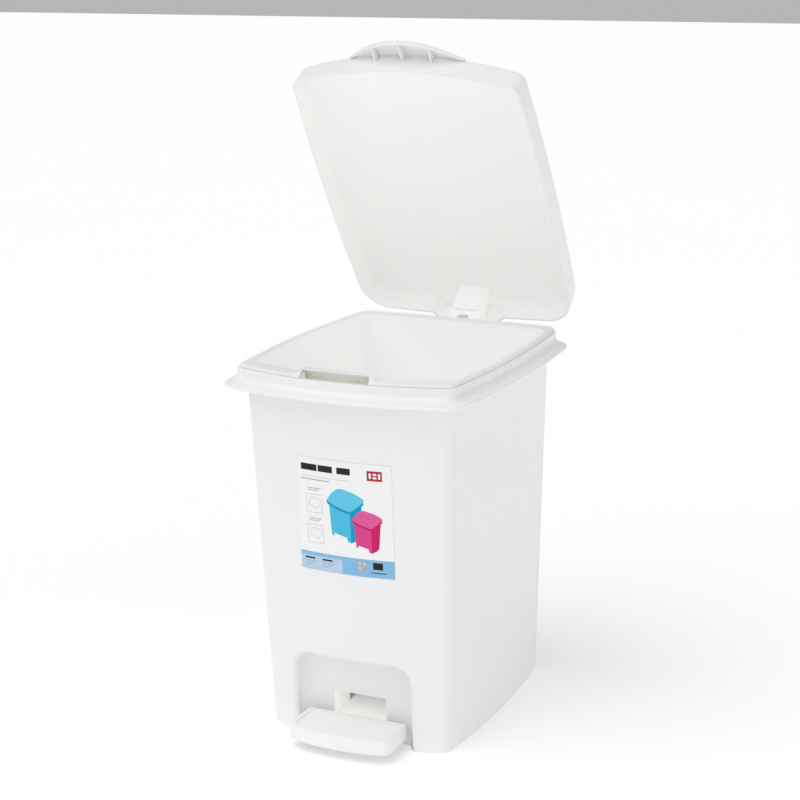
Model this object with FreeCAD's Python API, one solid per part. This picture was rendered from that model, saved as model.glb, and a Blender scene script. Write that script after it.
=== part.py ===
import FreeCAD, Part
import math
import os
from dataclasses import dataclass, replace

# Pedal bin: an outer casing with a lift-out bucket, a domed lid hinged at the rear and a front pedal
# whose lever lifts the lid through a rod in a rear channel. The bin is modelled with the lid fully
# open and the pedal fully down. Millimetres, +Z up, front towards -Y, origin on the floor under the
# middle of the collar.

V = FreeCAD.Vector

# ---------------------------------------------------------------- casing
WALL = 2.5                    # moulded wall of the casing
BODY_TOP = 381.0              # height at which the tapered wall meets the flange
TOP_WIDTH, TOP_DEPTH = 245.5, 308.0     # the wall's outline at that height
COLLAR_TOP = BODY_TOP + 19.0  # top of the upright collar that carries the bucket
FOOT_WIDTH, FOOT_DEPTH, FOOT_SHIFT = TOP_WIDTH - 22.0, TOP_DEPTH - 21.0, 12.0
FOOT_FRONT, FOOT_REAR = FOOT_SHIFT - FOOT_DEPTH / 2, FOOT_SHIFT + FOOT_DEPTH / 2
COLLAR_WIDTH, COLLAR_DEPTH = TOP_WIDTH + 14.5, TOP_DEPTH + 15.0
FLANGE_REACH = 11.5           # how far the flange tip stands out from the collar
FLANGE_SKIN = 2.5

# ---------------------------------------------------------------- pedal recess
RECESS_HALF = 65.5            # half width of the recess
RECESS_TOP = 94.0
RECESS_BACK = FOOT_FRONT + 24.0         # front face of the recess's back wall
RECESS_CORNER = 18.0
HOLE_HALF = 29.8              # window for the pedal neck
HOLE_LOW, HOLE_HIGH = 8.0, 46.5

# ---------------------------------------------------------------- bucket
RIM_RISE = 3.7                # rim thickness above the collar
RIM_WIDTH, RIM_DEPTH = COLLAR_WIDTH - 9.0, COLLAR_DEPTH - 4.0
SEAT_GAP = 1.0                # the rim's skirt stands in from the collar's edge by this
MOUTH_WIDTH, MOUTH_DEPTH, MOUTH_SHIFT = TOP_WIDTH - 4.5, TOP_DEPTH - 22.0, 3.0
THROAT_DROP = 19.0            # depth of the flared throat under the rim
THROAT_WIDTH, THROAT_DEPTH = TOP_WIDTH - 11.5, TOP_DEPTH - 28.0
WELL_FLOOR = 52.0             # underside of the bucket
WELL_WIDTH, WELL_DEPTH, WELL_SHIFT = FOOT_WIDTH - 20.5, FOOT_DEPTH - 49.0, FOOT_SHIFT + 15.0
BUCKET_WALL = 1.8
SLOT_HALF_LOW, SLOT_HALF_HIGH = 40.0, 34.5
BRIDGE_HALF, BRIDGE_RISE, BRIDGE_SKIN = 45.0, 4.6, 2.6
BRIDGE_FRONT, BRIDGE_BACK = 9.5 - COLLAR_DEPTH / 2, 31.5 - COLLAR_DEPTH / 2

# ---------------------------------------------------------------- lid, measured closed
HINGE_Y, HINGE_Z = TOP_DEPTH / 2 + 34.6, BODY_TOP + 3.2
LID_RIM = COLLAR_TOP - 8.0    # height of the lid's lower edge when shut
LID_WIDTH, LID_DEPTH = COLLAR_WIDTH + 6.3, COLLAR_DEPTH + 26.6
LID_WALL = 2.3                # leaves the skirt clear of the collar inside it
SKIRT = 28.0                  # height of the upright skirt
SKIRT_DRAFT = 1.3
LID_REAR_R = 0.1277 * LID_WIDTH         # radius of its rear corners in plan
DOME_RISE = 21.0
DOME_INSET = 0.293 * LID_WIDTH          # plan distance over which the dome climbs to its crown
OPEN_ANGLE = 57.0
BAY_HALF, BAY_BACK = 40.0, HINGE_Y - 6.6        # rear bulge of the skirt round the hinge arms
BAY_RISE, BAY_ROOF = 18.0, 5.0          # its upright height and the height of its sloping roof
VISOR_HALF, VISOR_REACH, VISOR_DROP = 65.3, 27.4, 9.6
VISOR_ROOT, VISOR_Z = 4.6 - LID_DEPTH / 2, LID_RIM + 29.0
VISOR_SKIN = 2.5
VISOR_RIBS = (-32.0, 0.0, 32.0)
VISOR_RIB = 2.2               # rib thickness

# ---------------------------------------------------------------- hinge and linkage
PIN_D = 5.0
FIT = 0.05                    # radial clearance of a running fit
SNUG = 0.01                   # radial clearance of a pin in its fixed seat
CRANK = 21.0                  # hinge axis to rod pin
CRANK_OPEN = 37.0             # elevation of the crank when the lid is open
ROD_PIN_D = 4.0
CHEEK_IN, CHEEK_OUT = 15.5, 18.5
EAR_IN, EAR_OUT = 20.0, 25.0
EAR_BOSS = 7.0
EAR_SHOULDER = BODY_TOP + 2.0 # where the top edge of the channel wall leaves the casing
CHANNEL_BACK = HINGE_Y - 11.6 # inner face of the channel's cover
COVER_SKIN = 2.5
COVER_LOW, COVER_HIGH = 6.0, BODY_TOP - 29.0
COVER_SCREW_Z = (COVER_LOW + 18.0, COVER_HIGH - 18.0)
COVER_SCREW_D, COVER_HEAD_D, COVER_HEAD = 2.0, 4.8, 1.4
COVER_SCREW_GRIP = 9.0        # how far the cover screws bite into the channel walls
PANEL_Y, PANEL_TILT = HINGE_Y - 24.6, 3.5       # lower edge of the hinge cover, and its lean to the top
PANEL_TOP = LID_RIM + 40.0
ROD_D = 6.0
ROD_EYE = 5.2                 # radius of the rod's eye
GUIDE_Z, GUIDE_HIGH = BODY_TOP - 176.0, 10.0
GUIDE_FRONT, GUIDE_PASSAGE = CHANNEL_BACK - 18.4, CHANNEL_BACK - 14.2

# ---------------------------------------------------------------- pedal
AXLE_Y, AXLE_Z, AXLE_D = RECESS_BACK + 155.5, 24.0, 6.0
TREAD_HALF, TREAD_FRONT, TREAD_BACK = RECESS_HALF - 6.5, RECESS_BACK - 65.0, RECESS_BACK - 4.5
TREAD_LOW, TREAD_TOP = 11.4, 26.5
TREAD_BOW, TREAD_CORNER = 8.0, 9.0
TREAD_SKIN = 3.0
NECK_HALF, NECK_BACK = HOLE_HALF - 1.8, RECESS_BACK + 49.5
LEVER_PIN_Y, LEVER_PIN_Z, LEVER_PIN_D = HINGE_Y - 22.6, 36.0, 4.0
LEVER_FRONT = RECESS_BACK + 9.5
LEVER_SCREW_Y = (RECESS_BACK + 17.5, RECESS_BACK + 35.5)
LEVER_BOSS = 5.0              # radius of the fork ends and of the rod pin's bosses
LEVER_WIDTH, LEVER_THICK = 24.0, 6.0
FORK_IN, FORK_OUT = 5.0, 9.0
FOOT_SLOT_Y, FOOT_SLOT_Z = 1.95, 0.65   # room for the lever pin each side in the rod's foot
FOOT_SHIFT_Y, FOOT_SHIFT_Z = 1.25, -0.2

# ---------------------------------------------------------------- base and fixings
PLATE_LOW, PLATE_THICK = 2.0, 2.5
PLATE_GAP = 0.5
SCREW_D, SCREW_HEAD_D, SCREW_HEAD = 3.0, 6.5, 1.5
SCREW_GRIP = 11.0             # how far the base screws bite into their posts
SCREW_ROOM = 0.2              # radial room of a screw in its through hole
POST_X, POST_HALF, POST_TOP = FOOT_WIDTH / 2 - 23.75, 5.0, 24.0
POST_Y = (RECESS_BACK + 29.5, FOOT_REAR - 27.5)
AXLE_BLOCK_IN, AXLE_BLOCK_OUT, AXLE_BLOCK_R = 17.0, 23.0, 9.0
CLIP_D, CLIP_THICK = 10.0, 1.2
LABEL = (-49.0, 56.6, BODY_TOP - 187.0, BODY_TOP - 65.0)   # left, right, bottom, top
LABEL_THICK = 0.25
SEAM = 0.02                   # air between parts that lie on each other
REACH = 200.0                 # past every face of the bin, for cutting boxes


# ================================================================ plan outlines
@dataclass(frozen=True)
class Plan:
    """A rounded rectangle whose four sides bow outwards."""
    width: float
    depth: float
    front_bow: float
    side_bow: float
    back_bow: float
    front_r: float
    back_r: float
    shift: float = 0.0

    def grown(self, by):
        return replace(self, width=self.width + 2 * by, depth=self.depth + 2 * by,
                       front_r=max(self.front_r + by, 2.0), back_r=max(self.back_r + by, 2.0))

    def wire(self, z):
        """Closed wire of four side arcs joined by four tangent corner arcs."""
        half = self.width / 2 - self.side_bow
        front = -self.depth / 2 + self.front_bow
        back = self.depth / 2 - self.back_bow
        front_rad = bow_radius(2 * half, self.front_bow)
        back_rad = bow_radius(2 * half, self.back_bow)
        side_rad = bow_radius(back - front, self.side_bow)
        front_c = (0.0, -self.depth / 2 + front_rad)
        back_c = (0.0, self.depth / 2 - back_rad)
        side_c = (self.width / 2 - side_rad, (front + back) / 2)
        fr = corner_centre(front_c, front_rad, side_c, side_rad, self.front_r, (half, front))
        br = corner_centre(side_c, side_rad, back_c, back_rad, self.back_r, (half, back))
        f_start = away(front_c, fr, self.front_r)
        f_end = away(side_c, fr, self.front_r)
        b_start = away(side_c, br, self.back_r)
        b_end = away(back_c, br, self.back_r)
        arcs = [
            ((-f_start[0], f_start[1]), (0.0, -self.depth / 2), f_start),
            (f_start, arc_middle(fr, self.front_r, f_start, f_end), f_end),
            (f_end, arc_middle(side_c, side_rad, f_end, b_start), b_start),
            (b_start, arc_middle(br, self.back_r, b_start, b_end), b_end),
            (b_end, (0.0, self.depth / 2), (-b_end[0], b_end[1])),
        ]
        for first, mid, last in arcs[3:0:-1]:
            arcs.append(tuple((-x, y) for x, y in (last, mid, first)))
        edges = []
        for trio in arcs:
            pts = [V(x, y + self.shift, z) for x, y in trio]
            edges.append(Part.Arc(*pts).toShape())
        return Part.Wire(edges)


def bow_radius(chord, bow):
    return (chord * chord / 4 + bow * bow) / (2 * bow)


def corner_centre(c1, r1, c2, r2, r, near):
    """Centre of the small arc of radius r inside two large arcs and tangent to both."""
    a, b = r1 - r, r2 - r
    dx, dy = c2[0] - c1[0], c2[1] - c1[1]
    dist = math.hypot(dx, dy)
    along = (a * a - b * b + dist * dist) / (2 * dist)
    off = math.sqrt(max(a * a - along * along, 0.0))
    ux, uy = dx / dist, dy / dist
    options = [(c1[0] + along * ux - s * off * uy, c1[1] + along * uy + s * off * ux) for s in (1, -1)]
    return min(options, key=lambda p: math.hypot(p[0] - near[0], p[1] - near[1]))


def away(centre, point, reach):
    """The point beyond `point` on the ray from `centre`."""
    dx, dy = point[0] - centre[0], point[1] - centre[1]
    k = reach / math.hypot(dx, dy)
    return (point[0] + dx * k, point[1] + dy * k)


def arc_middle(centre, radius, p, q):
    dx = (p[0] + q[0]) / 2 - centre[0]
    dy = (p[1] + q[1]) / 2 - centre[1]
    k = radius / math.hypot(dx, dy)
    return (centre[0] + dx * k, centre[1] + dy * k)


def stack(levels, smooth=False):
    """Solid through plan outlines at rising heights: [(plan, z), ...]."""
    return Part.makeLoft([plan.wire(z) for plan, z in levels], True, not smooth)


# ================================================================ small solids
def box(x0, x1, y0, y1, z0, z1):
    return Part.makeBox(x1 - x0, y1 - y0, z1 - z0, V(x0, y0, z0))


def rod_x(x0, x1, y, z, radius):
    """Cylinder along X."""
    return Part.makeCylinder(radius, x1 - x0, V(x0, y, z), V(1, 0, 0))


def tube_x(x0, x1, y, z, outer, inner):
    return rod_x(x0, x1, y, z, outer).cut(rod_x(x0 - 1, x1 + 1, y, z, inner))


def profile_x(points, x0, x1):
    """Prism along X with a polygon section in the YZ plane."""
    pts = [V(x0, y, z) for y, z in points]
    face = Part.Face(Part.makePolygon(pts + pts[:1]))
    return face.extrude(V(x1 - x0, 0, 0))


def prism_y(points, y0, y1):
    """Prism along Y with a polygon section in the XZ plane."""
    pts = [V(x, y0, z) for x, z in points]
    return Part.Face(Part.makePolygon(pts + pts[:1])).extrude(V(0, y1 - y0, 0))


def both_sides(solid):
    """The solid and its mirror image across the YZ plane."""
    return [solid, solid.mirror(V(0, 0, 0), V(1, 0, 0))]


def fuse(shapes):
    body = shapes[0]
    for shape in shapes[1:]:
        body = body.fuse(shape)
    return body.removeSplitter()


def stadium_x(x0, x1, y, z, reach_y, radius_z):
    """Slot-shaped prism along X: half height radius_z, half length reach_y."""
    span = reach_y - radius_z
    ends = [rod_x(x0, x1, y - span, z, radius_z), rod_x(x0, x1, y + span, z, radius_z)]
    return fuse([box(x0, x1, y - span, y + span, z - radius_z, z + radius_z)] + ends)


def turned(shape, degrees, y=HINGE_Y, z=HINGE_Z):
    """Copy turned about an axis along X through (y, z)."""
    copy = shape.copy()
    copy.rotate(V(0, y, z), V(1, 0, 0), degrees)
    return copy


# ================================================================ plans used by several pieces
FOOT = Plan(FOOT_WIDTH, FOOT_DEPTH, 21.0, 9.0, 3.0, 14.0, 14.0, FOOT_SHIFT)
TOP = Plan(TOP_WIDTH, TOP_DEPTH, 22.0, 9.0, 3.0, 14.0, 14.0)
COLLAR = Plan(COLLAR_WIDTH, COLLAR_DEPTH, 22.0, 9.0, 3.0, 12.0, 16.0)
RIM = Plan(RIM_WIDTH, RIM_DEPTH, 22.0, 9.0, 3.0, 10.0, 14.0)
MOUTH = Plan(MOUTH_WIDTH, MOUTH_DEPTH, 21.0, 8.0, 3.0, 16.0, 16.0, MOUTH_SHIFT)
THROAT = Plan(THROAT_WIDTH, THROAT_DEPTH, 20.0, 8.0, 3.0, 18.0, 18.0, MOUTH_SHIFT)
WELL = Plan(WELL_WIDTH, WELL_DEPTH, 15.0, 7.0, 3.0, 24.0, 24.0, WELL_SHIFT)
LID = Plan(LID_WIDTH, LID_DEPTH, 20.0, 4.8, 3.3, 12.4, LID_REAR_R)


def casing_plan(z):
    """The casing wall's outer outline at a height, on its straight taper."""
    t = z / BODY_TOP
    return replace(TOP, width=FOOT.width + (TOP.width - FOOT.width) * t,
                   depth=FOOT.depth + (TOP.depth - FOOT.depth) * t,
                   front_bow=FOOT.front_bow + (TOP.front_bow - FOOT.front_bow) * t,
                   shift=FOOT.shift * (1 - t))


def casing_wall(grow, z0, z1):
    """Tapered casing solid between two heights, set outwards by `grow`."""
    return stack([(casing_plan(z).grown(grow), z) for z in (z0, z1)])


# ================================================================ casing
def flange_and_collar():
    """Collar with a hollow flange that sweeps out and down from its foot."""
    sweep = [(FLANGE_REACH, 0.0), (FLANGE_REACH, 3.0), (8.0, 4.2), (4.5, 5.6), (1.8, 7.4), (0.0, 10.0)]
    outer = stack([(COLLAR.grown(reach), BODY_TOP + up) for reach, up in sweep] + [(COLLAR, COLLAR_TOP)])
    under = [(FLANGE_REACH - FLANGE_SKIN, 0.0), (FLANGE_REACH - FLANGE_SKIN - 0.5, 1.5), (5.0, 2.8),
             (1.6, 4.2), (-1.0, 5.0)]
    hollow = stack([(COLLAR.grown(reach), BODY_TOP + up) for reach, up in under])
    return outer.cut(hollow)


def recess_block(grow, front, back):
    """Pedal recess volume: upright box with rounded top corners."""
    half, top = RECESS_HALF + grow, RECESS_TOP + grow
    block = box(-half, half, front, back, -1.0, top)
    corners = [e for e in block.Edges
               if e.Vertexes[0].Z > top - 1 and e.Vertexes[1].Z > top - 1
               and abs(e.Vertexes[0].Y - e.Vertexes[1].Y) > 1]
    return block.makeFillet(RECESS_CORNER + grow, corners)


def spine():
    """Side walls of the rear rod channel, rising into the two hinge ears."""
    wall_back = CHANNEL_BACK + COVER_SKIN
    root = TOP_DEPTH / 2 - 0.5
    ear_top = HINGE_Z + EAR_BOSS
    plate = [(root, 0.0), (wall_back, 0.0), (wall_back, COVER_HIGH), (HINGE_Y + EAR_BOSS, HINGE_Z - 8.0),
             (HINGE_Y + EAR_BOSS, HINGE_Z), (HINGE_Y, ear_top),
             (HINGE_Y - 18.6, ear_top), (HINGE_Y - 28.6, EAR_SHOULDER + 3.0), (root, EAR_SHOULDER)]
    ear = profile_x(plate, EAR_IN, EAR_OUT).fuse(rod_x(EAR_IN, EAR_OUT, HINGE_Y, HINGE_Z, EAR_BOSS))
    ear = ear.cut(rod_x(EAR_IN - 1, EAR_OUT + 1, HINGE_Y, HINGE_Z, PIN_D / 2 + SNUG))
    return both_sides(ear)


def screw_posts():
    """Four posts that reach out from the casing wall and take the base screws."""
    posts = []
    for y in POST_Y:
        posts += both_sides(box(POST_X - POST_HALF, FOOT_WIDTH, y - POST_HALF, y + POST_HALF,
                                PLATE_LOW + PLATE_THICK, POST_TOP))
    return posts


def outer_body():
    skin = casing_wall(0.0, 0.0, BODY_TOP + 6.0)
    inside = casing_wall(-WALL, -1.0, BODY_TOP + 8.0)
    collar_bore = COLLAR.grown(-WALL)
    shell = fuse([flange_and_collar(), skin]).cut(inside)
    shell = shell.cut(stack([(collar_bore, BODY_TOP + 7.0), (collar_bore, COLLAR_TOP + 2.0)]))
    shell = shell.cut(box(-EAR_IN, EAR_IN, COLLAR_DEPTH / 2 + 0.1, HINGE_Y, BODY_TOP - 81.0,
                          COLLAR_TOP + 2.0))

    front_of_casing = casing_wall(-0.01, 0.0, BODY_TOP)
    liner = recess_block(WALL, -REACH, RECESS_BACK + WALL).common(front_of_casing)
    liner = liner.common(box(-REACH, REACH, -REACH, REACH, 0, REACH))
    posts = [p.common(front_of_casing) for p in screw_posts()]
    shell = fuse([shell, liner] + posts + spine())

    shell = shell.cut(recess_block(0.0, -REACH, RECESS_BACK))
    shell = shell.cut(box(-HOLE_HALF, HOLE_HALF, RECESS_BACK - 1, RECESS_BACK + WALL + 1,
                          HOLE_LOW, HOLE_HIGH))
    shell = shell.cut(lever_door())
    for x, y in corner_screws():
        shell = shell.cut(Part.makeCylinder(SCREW_D / 2 + SNUG, SCREW_GRIP + 5.0, V(x, y, PLATE_LOW)))
    for x, z in cover_screws():
        start = V(x, CHANNEL_BACK - COVER_SCREW_GRIP - 2.0, z)
        shell = shell.cut(Part.makeCylinder(COVER_SCREW_D / 2 + SNUG, 12.0 + COVER_SKIN, start, V(0, 1, 0)))
    return shell


def lever_door():
    """Opening in the rear wall through which the lever reaches the rod."""
    half = LEVER_WIDTH / 2 + 1
    return box(-half, half, CHANNEL_BACK - 32.0, CHANNEL_BACK - 17.0, PLATE_LOW + PLATE_THICK + 1.5,
               LEVER_PIN_Z + 10.0)


def corner_screws():
    """Plan positions of the base screws."""
    return [(side * POST_X, y) for y in POST_Y for side in (-1, 1)]


def cover_screws():
    """X and Z of the channel cover's screws."""
    return [(side * (EAR_IN + EAR_OUT) / 2, z) for z in COVER_SCREW_Z for side in (-1, 1)]


def spine_cover():
    """Plate that closes the channel, let in between the channel's side walls."""
    face = CHANNEL_BACK + COVER_SKIN
    tongue_half = EAR_IN - 0.3
    plate = box(-EAR_OUT, EAR_OUT, face, face + COVER_SKIN, COVER_LOW, COVER_HIGH)
    tongue = box(-tongue_half, tongue_half, CHANNEL_BACK, face + 0.1, COVER_LOW + 2, COVER_HIGH - 2)
    cover = plate.fuse(tongue)
    for x, z in cover_screws():
        cover = cover.cut(Part.makeCylinder(SCREW_D / 2, 20.0, V(x, CHANNEL_BACK - 5, z), V(0, 1, 0)))
    return cover.removeSplitter()


def spine_cover_screws():
    screws = []
    face = CHANNEL_BACK + 2 * COVER_SKIN
    tip = CHANNEL_BACK - COVER_SCREW_GRIP
    for x, z in cover_screws():
        shank = Part.makeCylinder(COVER_SCREW_D / 2, face - tip, V(x, tip, z), V(0, 1, 0))
        head = Part.makeCylinder(COVER_HEAD_D / 2, COVER_HEAD, V(x, face, z), V(0, 1, 0))
        screws.append(shank.fuse(head))
    return Part.makeCompound(screws)


def rod_guide():
    """Clip across the channel that keeps the rod between the side walls."""
    half, room = EAR_IN - 0.1, ROD_D / 2 + 1
    block = box(-half, half, GUIDE_FRONT, CHANNEL_BACK - 0.2, GUIDE_Z, GUIDE_Z + GUIDE_HIGH)
    passage = box(-room, room, GUIDE_PASSAGE, CHANNEL_BACK + 1, GUIDE_Z - 1, GUIDE_Z + GUIDE_HIGH + 1)
    return block.cut(passage)


# ================================================================ base
def base_plate():
    plate = casing_wall(-WALL - PLATE_GAP, PLATE_LOW, PLATE_LOW + PLATE_THICK)
    plate = plate.common(box(-REACH, REACH, RECESS_BACK + WALL + PLATE_GAP, REACH, 0, 50))
    block = box(AXLE_BLOCK_IN, AXLE_BLOCK_OUT, AXLE_Y - AXLE_BLOCK_R, AXLE_Y + AXLE_BLOCK_R,
                PLATE_LOW + 1, AXLE_Z)
    boss = rod_x(AXLE_BLOCK_IN, AXLE_BLOCK_OUT, AXLE_Y, AXLE_Z, AXLE_BLOCK_R)
    plate = fuse([plate] + both_sides(block) + both_sides(boss))
    plate = plate.cut(rod_x(-40, 40, AXLE_Y, AXLE_Z, AXLE_D / 2 + SNUG))
    for x, y in corner_screws():
        plate = plate.cut(Part.makeCylinder(SCREW_D / 2 + SCREW_ROOM, 20, V(x, y, -1)))
    return plate


def base_screws():
    screws = []
    for x, y in corner_screws():
        head = Part.makeCylinder(SCREW_HEAD_D / 2, SCREW_HEAD, V(x, y, PLATE_LOW - SCREW_HEAD))
        shank = Part.makeCylinder(SCREW_D / 2, PLATE_THICK + SCREW_GRIP, V(x, y, PLATE_LOW))
        screws.append(head.fuse(shank))
    return Part.makeCompound(screws)


def pedal_axle():
    half = AXLE_BLOCK_OUT + 3.0
    return rod_x(-half, half, AXLE_Y, AXLE_Z, AXLE_D / 2)


def ring_clips(x_face, y, z, inner_d):
    """Two push-on rings just outside faces at +-x_face."""
    ring = tube_x(x_face, x_face + CLIP_THICK, y, z, CLIP_D / 2, inner_d / 2 + SNUG)
    return Part.makeCompound(both_sides(ring))


# ================================================================ bucket
def inner_bucket():
    rim_top = COLLAR_TOP + RIM_RISE
    throat_z = rim_top - THROAT_DROP
    wall = BUCKET_WALL
    outer = stack([(WELL.grown(wall), WELL_FLOOR), (THROAT.grown(wall), throat_z),
                   (MOUTH.grown(wall), rim_top)])
    inner = stack([(WELL, WELL_FLOOR + wall), (THROAT, throat_z), (MOUTH, rim_top),
                   (MOUTH, rim_top + 2 * BRIDGE_RISE)])
    seat = COLLAR.grown(-SEAT_GAP)
    rim = stack([(seat, COLLAR_TOP), (seat, COLLAR_TOP + 1.2), (RIM, rim_top)])
    rim = rim.cut(slot_void(rim_top))
    return fuse([rim, outer, bridge(rim_top)]).cut(inner)


def mouth_front():
    """Y of the bucket wall's outer face at the front of the mouth."""
    return -MOUTH_DEPTH / 2 + MOUTH_SHIFT - BUCKET_WALL


def slot_void(rim_top):
    """Trapezoid gap through the front of the rim, under the bridge."""
    low, high, length = rim_top - 8.0, rim_top + 2.0, 40.0
    section = [(-SLOT_HALF_LOW, low), (SLOT_HALF_LOW, low), (SLOT_HALF_HIGH, high), (-SLOT_HALF_HIGH, high)]
    return prism_y(section, mouth_front() - length, mouth_front())


def bridge(rim_top):
    """Raised finger bridge over the slot."""
    low, high = rim_top - 0.5, rim_top + BRIDGE_RISE
    inner = high - BRIDGE_SKIN
    top_half = SLOT_HALF_HIGH + 4
    outline = [(-BRIDGE_HALF, low), (BRIDGE_HALF, low), (top_half, high), (-top_half, high)]
    gap = [(-SLOT_HALF_LOW, low - 3), (SLOT_HALF_LOW, low - 3), (SLOT_HALF_HIGH, inner),
           (-SLOT_HALF_HIGH, inner)]
    return prism_y(outline, BRIDGE_FRONT, BRIDGE_BACK).cut(prism_y(gap, BRIDGE_FRONT, mouth_front()))


# ================================================================ lid
def dome_levels(plan, base_z, inset_to, rise):
    """Outlines of a dome that rises steeply at its edge and flattens to the crown."""
    levels = []
    for angle in (0, 22, 42, 60, 75, 90):
        a = math.radians(angle)
        inset = inset_to * (1 - math.cos(a)) ** 1.35
        section = replace(plan.grown(-inset), front_r=plan.front_r + 0.3 * inset, back_r=plan.back_r)
        levels.append((section, base_z + rise * math.sin(a)))
    return levels


def lid_volume(plan, bottom, skirt_top, rise):
    skirt = stack([(plan, bottom), (plan.grown(-SKIRT_DRAFT), skirt_top)])
    dome = stack(dome_levels(plan.grown(-SKIRT_DRAFT), skirt_top, DOME_INSET, rise), smooth=True)
    return fuse([skirt, dome])


def crescent(inset, z):
    """Flat face under the hand-hold's front arc, running back into the skirt."""
    reach = VISOR_REACH - inset
    ends = VISOR_HALF - inset * 1.5
    root = VISOR_ROOT + 12.0
    arc = Part.Arc(V(-ends, VISOR_ROOT, z), V(0, VISOR_ROOT - reach, z), V(ends, VISOR_ROOT, z)).toShape()
    close = Part.makePolygon([V(ends, VISOR_ROOT, z), V(ends, root, z), V(-ends, root, z),
                              V(-ends, VISOR_ROOT, z)])
    return Part.Face(Part.Wire([arc] + close.Edges))


def visor():
    """Crescent hand-hold at the lid's front edge: a top plate with a lip turned down."""
    low, high = VISOR_Z - 26.0, VISOR_Z + 14.0
    tall = crescent(0.0, low).extrude(V(0, 0, high - low))
    bore = crescent(VISOR_SKIN + 1.0, low - 5.0).extrude(V(0, 0, high - low + 10.0))
    slope = [(VISOR_ROOT + 12, VISOR_Z + 3.0), (VISOR_ROOT - 6, VISOR_Z + 1.0),
             (VISOR_ROOT - 18, VISOR_Z - 2.5), (VISOR_ROOT - VISOR_REACH - 1, VISOR_Z - 7.0)]
    wide = VISOR_HALF + 15.0
    top = profile_x(slope + [(y, z - VISOR_SKIN) for y, z in reversed(slope)], -wide, wide)
    under = profile_x(slope + [(y, z - VISOR_DROP) for y, z in reversed(slope)], -wide, wide)
    lip = tall.common(under).cut(bore)
    ribs = []
    for x in VISOR_RIBS:
        rib = box(x - VISOR_RIB / 2, x + VISOR_RIB / 2, VISOR_ROOT - VISOR_REACH + 2, VISOR_ROOT + 12,
                  low, high)
        ribs.append(rib.common(tall).common(under))
    return fuse([tall.common(top), lip] + ribs)


def crank_point(elevation):
    a = math.radians(elevation)
    return HINGE_Y - CRANK * math.cos(a), HINGE_Z + CRANK * math.sin(a)


def cheeks():
    """Two plates under the lid that carry the hinge barrel and the rod pin."""
    py, pz = crank_point(CRANK_OPEN - OPEN_ANGLE)
    outline = [(PANEL_Y - PANEL_TILT, PANEL_TOP), (PANEL_Y, LID_RIM), (PANEL_Y + 0.4, pz),
               (py, pz - LEVER_BOSS), (HINGE_Y, HINGE_Z - EAR_BOSS), (HINGE_Y + 6.0, HINGE_Z + 3.0),
               (HINGE_Y - 8.6, LID_RIM + 13.0), (HINGE_Y - 14.6, PANEL_TOP)]
    plate = fuse([profile_x(outline, CHEEK_IN, CHEEK_OUT),
                  rod_x(CHEEK_IN, CHEEK_OUT, HINGE_Y, HINGE_Z, EAR_BOSS),
                  rod_x(CHEEK_IN, CHEEK_OUT, py, pz, LEVER_BOSS)])
    return both_sides(plate)


def bay_block(grow, front, low):
    """Bulge of the rear skirt that leaves room round the hinge arms."""
    back, top = BAY_BACK + grow, LID_RIM + BAY_RISE + grow
    section = [(front, low), (back, low), (back, top), (LID_DEPTH / 2 - 2.0, top + BAY_ROOF),
               (front, top + BAY_ROOF)]
    return profile_x(section, -BAY_HALF - grow, BAY_HALF + grow)


def lid_shell_shut():
    skirt_top = LID_RIM + SKIRT
    outer = fuse([lid_volume(LID, LID_RIM, skirt_top, DOME_RISE), bay_block(0.0, HINGE_Y - 20.6, LID_RIM)])
    inner = lid_volume(LID.grown(-LID_WALL), LID_RIM - 1.0, skirt_top - LID_WALL, DOME_RISE)
    shell = outer.fuse(visor()).cut(inner).cut(bay_block(-LID_WALL, HINGE_Y - 38.6, LID_RIM - 1.0))
    front, back = HINGE_Y - 90.0, HINGE_Y + 30.0
    roof = box(-50, 50, front, back, LID_RIM + 33.0, PANEL_TOP + 28.0).cut(inner)
    below = box(-50, 50, front, back, LID_RIM - 32.0, LID_RIM + 26.0)
    held = [c.cut(roof).common(outer.fuse(below)) for c in cheeks()]
    barrel = rod_x(-CHEEK_IN - 0.5, CHEEK_IN + 0.5, HINGE_Y, HINGE_Z, EAR_BOSS - 1.0)
    py, pz = crank_point(CRANK_OPEN - OPEN_ANGLE)
    body = fuse([shell] + held + [barrel])
    body = body.cut(rod_x(-60, 60, HINGE_Y, HINGE_Z, PIN_D / 2 + FIT))
    return body.cut(rod_x(-60, 60, py, pz, ROD_PIN_D / 2 + SNUG))


def hinge_cover_shut():
    """Clip-in panel between the cheeks that hides the linkage from the front."""
    half, top, skin = CHEEK_IN - 0.2, PANEL_TOP + 8.0, 2.0
    lean = PANEL_TILT / (PANEL_TOP - LID_RIM)
    top_y = PANEL_Y - lean * (top - LID_RIM)
    panel = profile_x([(top_y, top), (PANEL_Y, LID_RIM), (PANEL_Y + skin, LID_RIM), (top_y + skin, top)],
                      -half, half)
    tabs = both_sides(box(half - 2.0, half, PANEL_Y + 0.5, PANEL_Y + 9.0, LID_RIM + 2, top))
    hollow = lid_volume(LID.grown(-LID_WALL - SEAM), LID_RIM - 1.0, LID_RIM + SKIRT - LID_WALL, DOME_RISE)
    return fuse([panel] + tabs).common(hollow)


def rod_pin():
    y, z = crank_point(CRANK_OPEN)
    return rod_x(-CHEEK_OUT - 1.0, CHEEK_OUT + 1.0, y, z, ROD_PIN_D / 2)


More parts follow.
